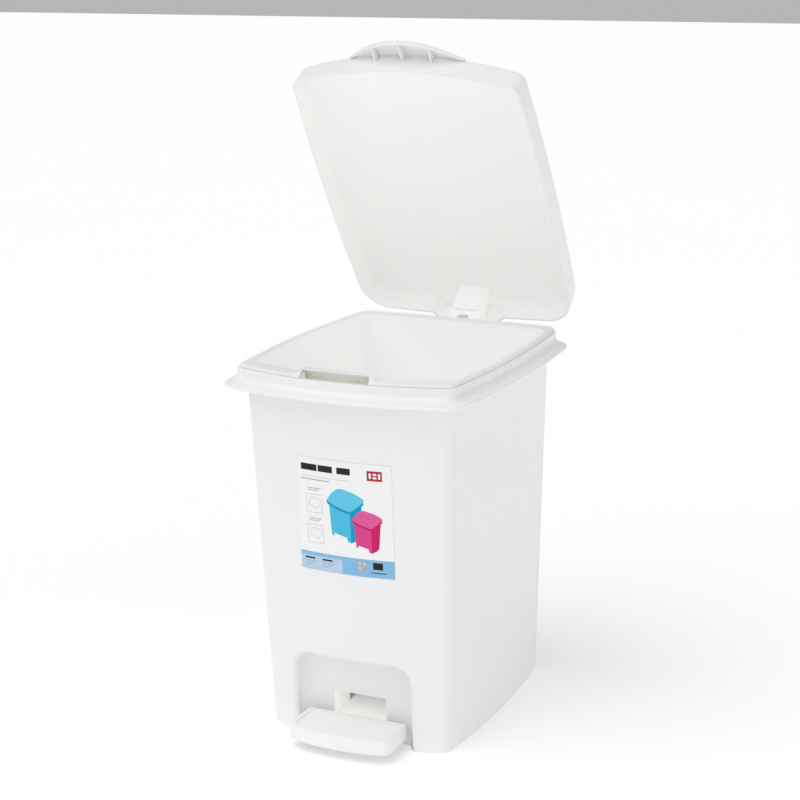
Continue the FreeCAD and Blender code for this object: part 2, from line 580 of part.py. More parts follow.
# ================================================================ push rod
def push_rod():
    """Straight rod with an eye for the rod pin and a slotted foot for the lever pin."""
    top_y, top_z = crank_point(CRANK_OPEN)
    foot_y, foot_z = LEVER_PIN_Y + FOOT_SHIFT_Y, LEVER_PIN_Z + FOOT_SHIFT_Z
    half = FORK_IN - 0.6
    start, end = V(0, foot_y, foot_z), V(0, top_y, top_z)
    bar = Part.makeCylinder(ROD_D / 2, end.sub(start).Length, start, end.sub(start))
    eye = rod_x(-half, half, top_y, top_z, ROD_EYE)
    pin = LEVER_PIN_D / 2
    foot = stadium_x(-half, half, foot_y, foot_z, pin + FOOT_SLOT_Y + 2.0, pin + FOOT_SLOT_Z + 2.6)
    rod = fuse([bar, eye, foot])
    rod = rod.cut(rod_x(-20, 20, top_y, top_z, ROD_PIN_D / 2 + FIT))
    return rod.cut(stadium_x(-20, 20, foot_y, foot_z, pin + FOOT_SLOT_Y, pin + FOOT_SLOT_Z))


# ================================================================ pedal
def lever_slope():
    return math.degrees(math.atan2(LEVER_PIN_Z - AXLE_Z, LEVER_PIN_Y - AXLE_Y))


def on_lever(shape):
    """Place a shape drawn level through the axle onto the sloping lever."""
    return turned(shape, lever_slope(), AXLE_Y, AXLE_Z)


def pedal_lever():
    arm = math.hypot(LEVER_PIN_Y - AXLE_Y, LEVER_PIN_Z - AXLE_Z)
    low, high = AXLE_Z - LEVER_THICK / 2, AXLE_Z + LEVER_THICK / 2
    half = LEVER_WIDTH / 2
    pin_y = AXLE_Y + arm
    bar = box(-half, half, LEVER_FRONT, pin_y - 16.0, low, high)
    tines = both_sides(box(FORK_IN, FORK_OUT, pin_y - 18.0, pin_y, low, high))
    ends = both_sides(rod_x(FORK_IN, FORK_OUT, pin_y, AXLE_Z, LEVER_BOSS))
    hub = rod_x(-16.0, 16.0, AXLE_Y, AXLE_Z, 7.0)
    lever = fuse([bar, hub] + tines + ends)
    lever = lever.cut(rod_x(-30, 30, AXLE_Y, AXLE_Z, AXLE_D / 2 + FIT))
    lever = lever.cut(rod_x(-30, 30, pin_y, AXLE_Z, LEVER_PIN_D / 2 + SNUG))
    for y in LEVER_SCREW_Y:
        lever = lever.cut(Part.makeCylinder(SCREW_D / 2 + SCREW_ROOM, 20, V(0, y, AXLE_Z - 10)))
    return on_lever(lever)


def lever_screws():
    screws = []
    low = AXLE_Z - LEVER_THICK / 2
    for y in LEVER_SCREW_Y:
        head = Part.makeCylinder(2.8, 1.4, V(0, y, low - 1.4))
        shank = Part.makeCylinder(SCREW_D / 2, LEVER_THICK + 4.0, V(0, y, low))
        screws.append(head.fuse(shank))
    return on_lever(Part.makeCompound(screws))


def tread_plan(inset, z):
    """Outline of the tread: bowed front edge, rounded front corners, straight back."""
    half, front, back = TREAD_HALF - inset, TREAD_FRONT + inset, TREAD_BACK - inset
    side_front = front + TREAD_BOW
    arc = Part.Arc(V(-half, side_front, z), V(0, front, z), V(half, side_front, z)).toShape()
    rest = Part.makePolygon([V(half, side_front, z), V(half, back, z), V(-half, back, z),
                             V(-half, side_front, z)])
    return Part.Face(Part.Wire([arc] + rest.Edges))


def rounded_tread(inset, z0, z1):
    block = tread_plan(inset, z0).extrude(V(0, 0, z1 - z0))
    upright = [e for e in block.Edges if abs(e.Vertexes[0].Z - e.Vertexes[1].Z) > 1]
    front = [e for e in upright if e.Vertexes[0].Y < TREAD_BACK - 20]
    return block.makeFillet(max(TREAD_CORNER - inset, 1.5), front)


def lever_top(y):
    """Height of the sloping lever's upper face in front of the axle."""
    slope = math.radians(lever_slope())
    return AXLE_Z + LEVER_THICK / 2 / math.cos(slope) - (AXLE_Y - y) * math.tan(slope)


def pedal_tread():
    """Tread with a neck that passes through the window and lies on the lever."""
    block = rounded_tread(0.0, TREAD_LOW, TREAD_TOP)
    block = block.cut(rounded_tread(TREAD_SKIN, TREAD_LOW - 1, TREAD_TOP - TREAD_SKIN))
    front, back = TREAD_BACK - 4.0, NECK_BACK
    neck = profile_x([(front, lever_top(front)), (back, lever_top(back)), (back, 27.5),
                      (RECESS_BACK, 19.0), (front, 19.5)], -NECK_HALF, NECK_HALF)
    dip = box(-NECK_HALF, NECK_HALF, TREAD_BACK - TREAD_SKIN + 0.1, TREAD_BACK + 1, 19.3, 40.0)
    body = fuse([block, neck]).cut(dip)
    for y in LEVER_SCREW_Y:
        pilot = Part.makeCylinder(SCREW_D / 2 + SNUG, 5.0, V(0, y, AXLE_Z + LEVER_THICK / 2 - 1))
        body = body.cut(on_lever(pilot))
    return body


def lever_pin():
    return rod_x(-FORK_OUT - 2.5, FORK_OUT + 2.5, LEVER_PIN_Y, LEVER_PIN_Z, LEVER_PIN_D / 2)


# ================================================================ label
def label():
    """Thin printed sticker on the front wall, generic and without lettering."""
    x0, x1, z0, z1 = LABEL
    sheet = casing_wall(LABEL_THICK + SEAM, z0 - 10, z1 + 10).cut(casing_wall(SEAM, z0 - 20, z1 + 20))
    return sheet.common(box(x0, x1, -REACH, -80.0, z0, z1))


# ================================================================ output
def as_solids(shape):
    """The shape's solids alone, so that no loose faces are written."""
    solids = shape.Solids
    return solids[0] if len(solids) == 1 else Part.makeCompound(solids)


def all_nodes():
    return {
        "outer_body": outer_body(),
        "base_plate": base_plate(),
        "base_screws": base_screws(),
        "spine_cover": spine_cover(),
        "spine_cover_screws": spine_cover_screws(),
        "rod_guide": rod_guide(),
        "pedal_axle": pedal_axle(),
        "axle_clips": ring_clips(AXLE_BLOCK_OUT + 0.1, AXLE_Y, AXLE_Z, AXLE_D),
        "inner_bucket": inner_bucket(),
        "hinge_pin": rod_x(-27.5, 27.5, HINGE_Y, HINGE_Z, PIN_D / 2),
        "hinge_pin_caps": ring_clips(EAR_OUT + 0.1, HINGE_Y, HINGE_Z, PIN_D),
        "label": label(),
        "lid": turned(lid_shell_shut(), -OPEN_ANGLE),
        "hinge_cover": turned(hinge_cover_shut(), -OPEN_ANGLE),
        "rod_pin": rod_pin(),
        "push_rod": push_rod(),
        "pedal_tread": pedal_tread(),
        "pedal_lever": pedal_lever(),
        "lever_screws": lever_screws(),
        "lever_pin": lever_pin(),
        "lever_pin_clips": ring_clips(FORK_OUT + 0.1, LEVER_PIN_Y, LEVER_PIN_Z, LEVER_PIN_D),
    }


def main():
    os.makedirs("parts", exist_ok=True)
    for name, shape in all_nodes().items():
        shape = as_solids(shape)
        shape.exportStep(os.path.join("parts", name + ".step"))
        print(name, len(shape.Solids), "solids", shape.isValid(), round(shape.Volume / 1000, 2), "cm3")


main()
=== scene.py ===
"""Pedal bin: moulded casing, lift-out bucket, domed lid and front pedal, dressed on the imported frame.

Sizes are in millimetres and are scaled to metres when a piece is finished. Front is -Y, up is +Z.
Every skin is drawn ring by ring from one outline, so that its rows and columns line up.
"""

import logging
import math
from dataclasses import dataclass, field, fields, replace
from enum import Enum
from typing import Any, Callable, Sequence

import bmesh
import bpy
from bmesh.types import BMEdge, BMesh, BMVert
from mathutils import Matrix, Vector


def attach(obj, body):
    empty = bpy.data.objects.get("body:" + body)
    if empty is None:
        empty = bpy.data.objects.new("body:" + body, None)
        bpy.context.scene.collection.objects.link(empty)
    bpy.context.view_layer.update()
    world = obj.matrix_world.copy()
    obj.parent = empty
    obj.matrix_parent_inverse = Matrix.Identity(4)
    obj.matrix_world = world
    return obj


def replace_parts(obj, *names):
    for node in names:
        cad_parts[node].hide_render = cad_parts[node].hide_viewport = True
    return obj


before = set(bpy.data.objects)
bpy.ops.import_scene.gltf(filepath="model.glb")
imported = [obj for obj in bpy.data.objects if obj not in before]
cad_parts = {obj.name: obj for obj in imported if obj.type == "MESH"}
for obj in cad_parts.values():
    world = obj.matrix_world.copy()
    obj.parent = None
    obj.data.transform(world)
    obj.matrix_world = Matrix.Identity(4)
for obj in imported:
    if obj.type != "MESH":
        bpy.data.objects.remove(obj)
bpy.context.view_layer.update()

LOG = logging.getLogger("pedal_bin")
MM = 0.001
Colour = tuple[float, float, float, float]
Spot = tuple[float, float, float]
Nudge = Callable[[Vector], Vector]

FRONT_STEPS, CORNER_STEPS, SIDE_STEPS, BACK_STEPS = 24, 8, 40, 24   # per half outline
HALF_RING = FRONT_STEPS + CORNER_STEPS + SIDE_STEPS + CORNER_STEPS + BACK_STEPS
RING = 2 * HALF_RING
SHARP_ANGLE = math.radians(38.0)                            # sharper edges than this are rounded
LEVEL = 0.01                                                # two heights or widths count as one within this
COUNTERS = ("step", "hem")                                  # number layers that keep vertices in order
MIX_SHARE, MIX_FIRST, MIX_SECOND, MIX_RESULT = 0, 6, 7, 2   # a Mix node's sockets for colours


class Body(Enum):
    """The frame's moving bodies."""
    CASING = "casing"
    LID = "lid"
    ROD = "rod"
    PEDAL = "pedal"


class Slot(Enum):
    """The record's material slots."""
    WHITE = "white_plastic"
    ROD = "rod_plastic"
    CAPS = "white_caps"
    ZINC = "zinc_steel"
    BRIGHT = "bright_steel"
    SPRING = "spring_steel"
    LABEL = "label_film"


# ---------------------------------------------------------------- shader kit
class Wire:
    """An output socket of a shader node; arithmetic on it adds Math nodes."""

    def __init__(self, recipe: "Recipe", socket: bpy.types.NodeSocket) -> None:
        """Keep the socket together with the recipe that it belongs to."""
        self.recipe = recipe
        self.socket = socket

    def _maths(self, operation: str, first: Any, second: Any) -> "Wire":
        """Add one Math node for two values."""
        return self.recipe.node("ShaderNodeMath", {"operation": operation}, {0: first, 1: second})

    def __add__(self, other: Any) -> "Wire":
        """Sum of two values."""
        return self._maths("ADD", self, other)

    __radd__ = __add__

    def __sub__(self, other: Any) -> "Wire":
        """Difference of two values."""
        return self._maths("SUBTRACT", self, other)

    def __rsub__(self, other: Any) -> "Wire":
        """Difference with this value taken away."""
        return self._maths("SUBTRACT", other, self)

    def __mul__(self, other: Any) -> "Wire":
        """Product of two values."""
        return self._maths("MULTIPLY", self, other)

    __rmul__ = __mul__


class Recipe:
    """One material while its nodes are being put together."""

    def __init__(self, name: str) -> None:
        """Start an empty node tree with object coordinates at hand.

        Args:
            name: the material's name.
        """
        self.material = bpy.data.materials.new(name)
        self.material.use_nodes = True
        self.tree = self.material.node_tree
        self.tree.nodes.clear()
        self.place = self.node("ShaderNodeTexCoord", out="Object")

    def node(self, kind: str, settings: dict[str, Any] | None = None,
             inputs: dict[Any, Any] | None = None, out: int | str = 0) -> Wire:
        """Add a node, set it up and feed its sockets.

        Args:
            kind: the node's type name.
            settings: node properties, set before its sockets.
            inputs: socket name or number to a value or a Wire.
            out: which output to hand back.

        Returns:
            The chosen output.
        """
        made = self.tree.nodes.new(kind)
        for key, value in (settings or {}).items():
            setattr(made, key, value)
        for key, value in (inputs or {}).items():
            if isinstance(value, Wire):
                self.tree.links.new(value.socket, made.inputs[key])
            else:
                made.inputs[key].default_value = value
        return Wire(self, made.outputs[out] if len(made.outputs) else None)

    def noise(self, scale: float, detail: float = 2.0,
              stretch: tuple[float, float, float] = (1.0, 1.0, 1.0)) -> Wire:
        """Soft noise in object space, cells per metre, drawn out by a stretch."""
        spot = self.node("ShaderNodeMapping", inputs={"Vector": self.place, "Scale": stretch}) \
            if stretch != (1.0, 1.0, 1.0) else self.place
        return self.node("ShaderNodeTexNoise", inputs={"Vector": spot, "Scale": scale, "Detail": detail})

    def masked(self, value: Wire, low: float, high: float) -> Wire:
        """Smooth 0 to 1 mask as a value goes from low to high."""
        return self.node("ShaderNodeMapRange", {"interpolation_type": "SMOOTHSTEP"},
                         {"Value": value, "From Min": low, "From Max": high})

    def blended(self, share: Wire, first: Any, second: Any) -> Wire:
        """Colour between two colours."""
        return self.node("ShaderNodeMix", {"data_type": "RGBA"},
                         {MIX_SHARE: share, MIX_FIRST: first, MIX_SECOND: second}, out=MIX_RESULT)

    def bumped(self, height: Wire, strength: float, depth_mm: float) -> Wire:
        """Normal raised by a height."""
        return self.node("ShaderNodeBump", inputs={"Height": height, "Strength": strength,
                                                   "Distance": depth_mm * MM})

    def surfaced(self, sockets: dict[str, Any]) -> bpy.types.Material:
        """Close the recipe with a Principled surface.

        Args:
            sockets: Principled socket names to values or Wires.

        Returns:
            The finished material.
        """
        shader = self.node("ShaderNodeBsdfPrincipled", inputs=sockets)
        self.node("ShaderNodeOutputMaterial", inputs={"Surface": shader})
        return self.material


# ---------------------------------------------------------------- finishes
@dataclass(frozen=True)
class MouldedPlastic:
    """Injection-moulded polypropylene: soft gloss over a very fine orange peel."""
    name: str
    tint: Colour
    shade: Colour
    roughness: float = 0.34
    peel_mm: float = 0.035
    peel_scale: float = 420.0
    rub: float = 0.10
    glow: float = 0.14
    painted_glow: float = 0.0               # painted glow: emission in the tint that brightens the surface with no lamp behind it
    cloud_scale: float = 7.0
    flow_scale: float = 22.0
    fine_scale: float = 2600.0
    speck_scale: float = 900.0
    speck_tone: float = 0.86
    scatter_mm: tuple[float, float, float] = (11.0, 10.0, 7.5)

    def made(self) -> bpy.types.Material:
        """Build the material."""
        r = Recipe(self.name)
        cloud = r.noise(self.cloud_scale, 3.0)
        flow = r.noise(self.flow_scale, 4.0, (1.0, 1.0, 0.18))
        peel = r.noise(self.peel_scale, 2.0)
        fine = r.noise(self.fine_scale, 1.0)
        speck = r.masked(r.noise(self.speck_scale, 0.0), 0.78, 0.84)
        colour = r.blended(r.masked(cloud * 0.7 + flow * 0.3, 0.3, 0.7), self.tint, self.shade)
        dusted = tuple(self.speck_tone * c for c in self.shade[:3]) + (1.0,)
        colour = r.blended(speck * 0.35, colour, dusted)
        rough = peel * self.rub + flow * (0.5 * self.rub) + (self.roughness - 0.75 * self.rub)
        normal = r.bumped(peel * 0.75 + fine * 0.25, 0.6, self.peel_mm)
        # Emission Strength is painted glow: the plastic gives off light though it is no lamp.
        return r.surfaced({"Base Color": colour, "Roughness": rough, "Normal": normal, "IOR": 1.49,
                           "Subsurface Weight": self.glow,
                           "Subsurface Radius": tuple(reach * MM for reach in self.scatter_mm),
                           "Subsurface Scale": 1.0, "Specular IOR Level": 0.45,
                           "Emission Color": self.tint, "Emission Strength": self.painted_glow})


@dataclass(frozen=True)
class DrawnSteel:
    """Small steel parts with fine turning marks and a little tarnish."""
    name: str
    tint: Colour
    tarnish: Colour
    roughness: float
    mark_scale: float = 300.0
    bloom_scale: float = 90.0

    def made(self) -> bpy.types.Material:
        """Build the material."""
        r = Recipe(self.name)
        marks = r.noise(self.mark_scale, 3.0, (14.0, 1.0, 1.0))
        bloom = r.masked(r.noise(self.bloom_scale, 3.0), 0.45, 0.75)
        colour = r.blended(bloom * 0.6, self.tint, self.tarnish)
        rough = marks * 0.14 + bloom * 0.12 + self.roughness
        return r.surfaced({"Base Color": colour, "Roughness": rough, "Metallic": 1.0,
                           "Normal": r.bumped(marks, 0.35, 0.02)})


@dataclass(frozen=True)
class PrintedFilm:
    """Glossy label film, or ink printed on it."""
    name: str
    tint: Colour
    grain: float = 0.04
    dot_scale: float = 1500.0
    sheen_scale: float = 160.0
    relief_scale: float = 500.0

    def made(self) -> bpy.types.Material:
        """Build the material."""
        r = Recipe(self.name)
        dots = r.noise(self.dot_scale, 0.0)
        deeper = tuple((1.0 - 2.0 * self.grain) * c for c in self.tint[:3]) + (1.0,)
        colour = r.blended(r.masked(dots, 0.35, 0.65), self.tint, deeper)
        rough = r.noise(self.sheen_scale, 2.0) * 0.10 + 0.22
        return r.surfaced({"Base Color": colour, "Roughness": rough, "Specular IOR Level": 0.22,
                           "Normal": r.bumped(r.noise(self.relief_scale, 1.0), 0.25, 0.01)})


WHITE = MouldedPlastic("soft_white_plastic", (0.928, 0.926, 0.914, 1.0), (0.916, 0.914, 0.900, 1.0))
BUCKET_WHITE = replace(WHITE, name="bucket_white_plastic", roughness=0.40, rub=0.12)
# Bucket inside: painted glow makes it brighter than its lighting gives.
BUCKET_INNER_GLOW = replace(BUCKET_WHITE, name="bucket_inner_glowing_plastic", painted_glow=0.13)
# Lid inside: painted glow lifts the shaded underside of the open lid.
LID_INNER_GLOW = replace(WHITE, name="lid_inner_glowing_plastic", painted_glow=0.09)
# Hinge hood and arms: painted glow brightens the shaded hinge corner.
HOOD_GLOW = replace(WHITE, name="hinge_hood_glowing_plastic", painted_glow=0.16)
# Neck window tunnel: painted glow brightens the shaded tunnel.
WINDOW_GLOW = replace(WHITE, name="neck_window_glowing_plastic", painted_glow=0.22)
# Pedal neck: painted glow brightens it inside the shaded window.
NECK_GLOW = replace(WHITE, name="pedal_neck_glowing_plastic", painted_glow=0.12)
# Finger slot pocket: a darker tan tint is painted shade for the deep slot, with painted glow on top.
POCKET_SHADE_GLOW = replace(WHITE, name="painted_shade_glow_pocket_plastic", tint=(0.82, 0.79, 0.70, 1.0),
                       shade=(0.80, 0.77, 0.68, 1.0), painted_glow=0.24)
ROD_WHITE = replace(WHITE, name="rod_natural_plastic", tint=(0.72, 0.71, 0.67, 1.0),
                    shade=(0.68, 0.67, 0.63, 1.0), roughness=0.42)
CAP_WHITE = replace(WHITE, name="cap_white_plastic", roughness=0.30, peel_scale=700.0)
ZINC = DrawnSteel("zinc_plated_steel", (0.62, 0.63, 0.65, 1.0), (0.46, 0.46, 0.44, 1.0), 0.30)
BRIGHT = DrawnSteel("bright_drawn_steel", (0.70, 0.70, 0.71, 1.0), (0.55, 0.54, 0.52, 1.0), 0.18)
SPRING = DrawnSteel("blued_spring_steel", (0.30, 0.31, 0.34, 1.0), (0.20, 0.19, 0.19, 1.0), 0.34)


class Ink(Enum):
    """Colours on the label."""
    FILM = PrintedFilm("label_white_film", (0.93, 0.93, 0.93, 1.0), 0.01)
    BLACK = PrintedFilm("ink_black", (0.012, 0.012, 0.014, 1.0))
    GREY = PrintedFilm("ink_grey", (0.45, 0.45, 0.46, 1.0))
    ROSE = PrintedFilm("ink_rose_line", (0.72, 0.55, 0.55, 1.0))
    RED = PrintedFilm("ink_red", (0.52, 0.012, 0.035, 1.0))
    SKY = PrintedFilm("ink_sky_band", (0.25, 0.53, 0.82, 1.0))
    PALE = PrintedFilm("ink_pale_band", (0.52, 0.68, 0.84, 1.0))
    BLUE = PrintedFilm("ink_bin_blue", (0.075, 0.53, 0.78, 1.0))
    BLUE_LIT = PrintedFilm("ink_bin_blue_lit", (0.13, 0.61, 0.83, 1.0))
    BLUE_DEEP = PrintedFilm("ink_bin_blue_deep", (0.0, 0.33, 0.60, 1.0))
    PINK = PrintedFilm("ink_bin_pink", (0.72, 0.06, 0.27, 1.0))
    PINK_LIT = PrintedFilm("ink_bin_pink_lit", (0.78, 0.11, 0.34, 1.0))
    PINK_DEEP = PrintedFilm("ink_bin_pink_deep", (0.66, 0.003, 0.13, 1.0))


# ---------------------------------------------------------------- outlines
def bow_radius(chord: float, bow: float) -> float:
    """Radius of the arc over a chord that stands out by a bow."""
    return (chord * chord / 4 + bow * bow) / (2 * bow)


def corner_centre(c1: Vector, r1: float, c2: Vector, r2: float, near: Vector) -> Vector:
    """Centre that lies r1 from c1 and r2 from c2, on the side of a nearby point."""
    step = c2 - c1
    along = (r1 * r1 - r2 * r2 + step.length_squared) / (2 * step.length)
    off = math.sqrt(max(r1 * r1 - along * along, 0.0))
    unit = step.normalized()
    across = Vector((-unit.y, unit.x))
    return min((c1 + unit * along + across * off * s for s in (1, -1)), key=lambda p: (p - near).length)


def swept(centre: Vector, start: Vector, end: Vector, steps: int) -> list[Vector]:
    """Points on the arc from start towards end, without the end itself."""
    first, last = start - centre, end - centre
    turn = math.atan2(first.x * last.y - first.y * last.x, first.dot(last))
    return [centre + Matrix.Rotation(turn * k / steps, 2) @ first for k in range(steps)]


@dataclass(frozen=True)
class Outline:
    """A rounded rectangle in plan whose four sides bow outwards."""
    width: float
    depth: float
    front_bow: float
    side_bow: float
    back_bow: float
    front_r: float
    back_r: float
    shift: float = 0.0

    def grown(self, by: float, rounder: float = 1.0) -> "Outline":
        """The outline set outwards, or inwards for a negative size."""
        return replace(self, width=self.width + 2 * by, depth=self.depth + 2 * by,
                       front_r=max(self.front_r + by * rounder, 1.2), back_r=max(self.back_r + by, 1.2))

    def toward(self, other: "Outline", share: float) -> "Outline":
        """The outline part of the way to another one."""
        mixed = {f.name: getattr(self, f.name) * (1 - share) + getattr(other, f.name) * share
                 for f in fields(self)}
        return Outline(**mixed)

    def scaled(self, share: float) -> "Outline":
        """The outline shrunk about its middle."""
        sizes = {f.name: getattr(self, f.name) * share for f in fields(self)}
        return Outline(**{**sizes, "shift": self.shift})

    def front_y(self, x: float) -> float:
        """Where the bowed front side lies at an x."""
        radius = bow_radius(self.width - 2 * self.side_bow, self.front_bow)
        return self.shift - self.depth / 2 + radius - math.sqrt(radius * radius - x * x)

    def points(self) -> list[Vector]:
        """The ring's points, from the front middle round by the right side."""
        half = self.width / 2 - self.side_bow
        front, back = -self.depth / 2 + self.front_bow, self.depth / 2 - self.back_bow
        front_rad, back_rad = bow_radius(2 * half, self.front_bow), bow_radius(2 * half, self.back_bow)
        side_rad = bow_radius(back - front, self.side_bow)
        front_c, back_c = Vector((0, -self.depth / 2 + front_rad)), Vector((0, self.depth / 2 - back_rad))
        side_c = Vector((self.width / 2 - side_rad, (front + back) / 2))
        fr = corner_centre(front_c, front_rad - self.front_r, side_c, side_rad - self.front_r,
                           Vector((half, front)))
        br = corner_centre(side_c, side_rad - self.back_r, back_c, back_rad - self.back_r,
                           Vector((half, back)))
        p1 = fr + (fr - front_c).normalized() * self.front_r
        p2 = fr + (fr - side_c).normalized() * self.front_r
        p3 = br + (br - side_c).normalized() * self.back_r
        p4 = br + (br - back_c).normalized() * self.back_r
        end = Vector((0, self.depth / 2))
        right = (swept(front_c, Vector((0, -self.depth / 2)), p1, FRONT_STEPS)
                 + swept(fr, p1, p2, CORNER_STEPS) + swept(side_c, p2, p3, SIDE_STEPS)
                 + swept(br, p3, p4, CORNER_STEPS) + swept(back_c, p4, end, BACK_STEPS) + [end])
        left = [Vector((-p.x, p.y)) for p in reversed(right[1:-1])]
        return [Vector((p.x, p.y + self.shift)) for p in right + left]


# ---------------------------------------------------------------- mesh kit
def edge_run(bm: BMesh, verts: Sequence[BMVert], closed: bool = False) -> list[BMEdge]:
    """The edges that join a run of vertices."""
    pairs = list(zip(verts, verts[1:])) + ([(verts[-1], verts[0])] if closed else [])
    return [e for e in (bm.edges.get(p) for p in pairs) if e is not None]


def edges_of(verts: Sequence[BMVert]) -> list[BMEdge]:
    """The edges that touch any of some vertices."""
    return list({e for v in verts for e in v.link_edges})


def outward(bm: BMesh) -> None:
    """Make the faces agree and look outwards."""
    bmesh.ops.recalc_face_normals(bm, faces=bm.faces[:])


def rounded(bm: BMesh, edges: list[BMEdge], edge: float, segments: int = 2, clamp: bool = True) -> None:
    """Round edges over.

    Args:
        bm: the mesh.
        edges: the edges.
        edge: width of the rounding.
        segments: its steps.
        clamp: whether neighbouring roundings stop where they meet.
    """
    bmesh.ops.bevel(bm, geom=edges, offset=edge, segments=segments, affect="EDGES", profile=0.5,
                    material=-1, clamp_overlap=clamp)


def drawn_on(bm: BMesh, edges: list[BMEdge], layer: Any) -> list[BMVert]:
    """Extrude edges and hand back the new vertices in their numbered order."""
    made = bmesh.ops.extrude_edge_only(bm, edges=edges)
    return sorted((g for g in made["geom"] if isinstance(g, BMVert)), key=lambda v: v[layer])


class Loft:
    """A skin drawn on, ring by ring, from one closed outline."""

    def __init__(self, outline: Outline, z: float) -> None:
        """Lay the first ring.

        Args:
            outline: its shape in plan.
            z: its height.
        """
        self.bm = bmesh.new()
        for layer in COUNTERS:
            self.bm.verts.layers.int.new(layer)
        self.step = self.bm.verts.layers.int["step"]
        made = bmesh.ops.create_circle(self.bm, cap_ends=False, radius=1.0, segments=RING)
        self.rows: list[list[BMVert]] = [list(made["verts"])]
        for number, vert in enumerate(self.rows[0]):
            vert[self.step] = number
        self._settle(outline, z, None)

    def _settle(self, outline: Outline, z: float, nudge: Nudge | None) -> None:
        """Move the newest ring into place."""
        for vert, spot in zip(self.rows[-1], outline.points()):
            place = Vector((spot.x, spot.y, z))
            vert.co = nudge(place) if nudge else place

    def draw(self, outline: Outline, z: float, nudge: Nudge | None = None) -> None:
        """Draw the skin on to another ring.

        Args:
            outline: the ring's shape in plan.
            z: its height.
            nudge: a local change to each of its points.
        """
        edges = edge_run(self.bm, self.rows[-1], closed=True)
        self.rows.append(drawn_on(self.bm, edges, self.step))
        self._settle(outline, z, nudge)

    def cap(self) -> None:
        """Close the newest ring with one face."""
        bmesh.ops.contextual_create(self.bm, geom=edge_run(self.bm, self.rows[-1], closed=True))

    def at(self, row: int, column: int) -> BMVert:
        """The vertex in a row, columns counted from the front middle, left of it negative."""
        return self.rows[row][column % RING]

    def cut_window(self, rows: range, columns: range) -> None:
        """Delete the faces between rows and columns.

        Args:
            rows: lower rows of the faces.
            columns: left columns of the faces.
        """
        found = [self.bm.faces.get([self.at(r, c), self.at(r, c + 1),
                                    self.at(r + 1, c + 1), self.at(r + 1, c)])
                 for r in rows for c in columns]
        bmesh.ops.delete(self.bm, geom=[f for f in found if f is not None], context="FACES")


class Hem:
    """An open run of vertices that is drawn on to new places."""

    def __init__(self, bm: BMesh, run: list[BMVert]) -> None:
        """Number the run, so that each new copy keeps its order."""
        self.bm = bm
        self.layer = bm.verts.layers.int["hem"]
        self.run = run
        for number, vert in enumerate(run):
            vert[self.layer] = number

    def draw(self, places: Sequence[Vector]) -> None:
        """Extrude the run and set its new vertices in place."""
        self.run = drawn_on(self.bm, edge_run(self.bm, self.run), self.layer)
        for vert, place in zip(self.run, places):
            vert.co = place


def facing(bm: BMesh, near: Vector, way: Vector) -> None:
    """Make all faces agree, so that the one nearest a point looks along a direction.

    Args:
        bm: the mesh.
        near: the point.
        way: the direction.
    """
    outward(bm)
    probe = min(bm.faces, key=lambda f: (f.calc_center_median() - near).length)
    if probe.normal.dot(way) < 0:
        bmesh.ops.reverse_faces(bm, faces=bm.faces[:])


def finished(bm: BMesh, name: str, body: Body, material: bpy.types.Material,
             skin: float = 0.0, edge: float = 0.0,
             behind: bpy.types.Material | None = None) -> bpy.types.Object:
    """Turn a mesh in millimetres into a dressed piece that rides on a body.

    Args:
        bm: the mesh, which is used up.
        name: the piece's name.
        body: what it moves with.
        material: its finish.
        skin: wall thickness added behind the faces, 0 for a solid.
        edge: width of the rounding on sharp edges.
        behind: finish of the wall's far side, if it has its own.

    Returns:
        The piece.
    """
    bmesh.ops.scale(bm, vec=(MM, MM, MM), verts=bm.verts[:])
    mesh = bpy.data.meshes.new(name)
    bm.to_mesh(mesh)
    bm.free()
    for layer in COUNTERS:
        if layer in mesh.attributes:
            mesh.attributes.remove(mesh.attributes[layer])
    mesh.shade_smooth()
    mesh.materials.append(material)
    piece = bpy.data.objects.new(name, mesh)
    bpy.context.scene.collection.objects.link(piece)
    if skin:
        wall = piece.modifiers.new("wall", "SOLIDIFY")
        wall.thickness, wall.offset, wall.use_even_offset = skin * MM, -1.0, True
        if behind:
            mesh.materials.append(behind)
            wall.material_offset = 1
    if edge:
        rounding = piece.modifiers.new("rounding", "BEVEL")
        rounding.width, rounding.segments = edge * MM, 2
        rounding.limit_method, rounding.angle_limit = "ANGLE", SHARP_ANGLE
    shading = piece.modifiers.new("shading", "WEIGHTED_NORMAL")
    shading.keep_sharp = True
    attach(piece, body.value)
    LOG.info("%s rides on %s", name, body.value)
    return piece


def cuboid(bm: BMesh, low: Spot, high: Spot) -> list[BMVert]:
    """Add a plain box between two corners and hand back its vertices."""
    size = [h - l for l, h in zip(low, high)]
    centre = Vector([(l + h) / 2 for l, h in zip(low, high)])
    fit = Matrix.Translation(centre) @ Matrix.Diagonal((*size, 1.0))
    return list(bmesh.ops.create_cube(bm, size=1.0, matrix=fit)["verts"])


def block(bm: BMesh, low: Spot, high: Spot, edge: float) -> None:
    """Add a box with rounded edges.

    Args:
        bm: the mesh.
        low: lowest corner.
        high: highest corner.
        edge: rounding of its edges.
    """
    rounded(bm, edges_of(cuboid(bm, low, high)), edge, segments=3)


def plate(bm: BMesh, profile: Sequence[tuple[float, float]], x0: float, x1: float, edge: float) -> None:
    """Add a plate across X with a polygon section in Y and Z.

    Args:
        bm: the mesh.
        profile: the section's corners.
        x0: its left face.
        x1: its right face.
        edge: rounding of its edges.
    """
    corners = [bm.verts.new((x0, y, z)) for y, z in profile]
    face = bmesh.ops.contextual_create(bm, geom=corners)["faces"]
    grown = bmesh.ops.extrude_face_region(bm, geom=face, use_keep_orig=True)
    moved = [g for g in grown["geom"] if isinstance(g, BMVert)]
    bmesh.ops.translate(bm, vec=(x1 - x0, 0, 0), verts=moved)
    rounded(bm, edges_of(corners + moved), edge)


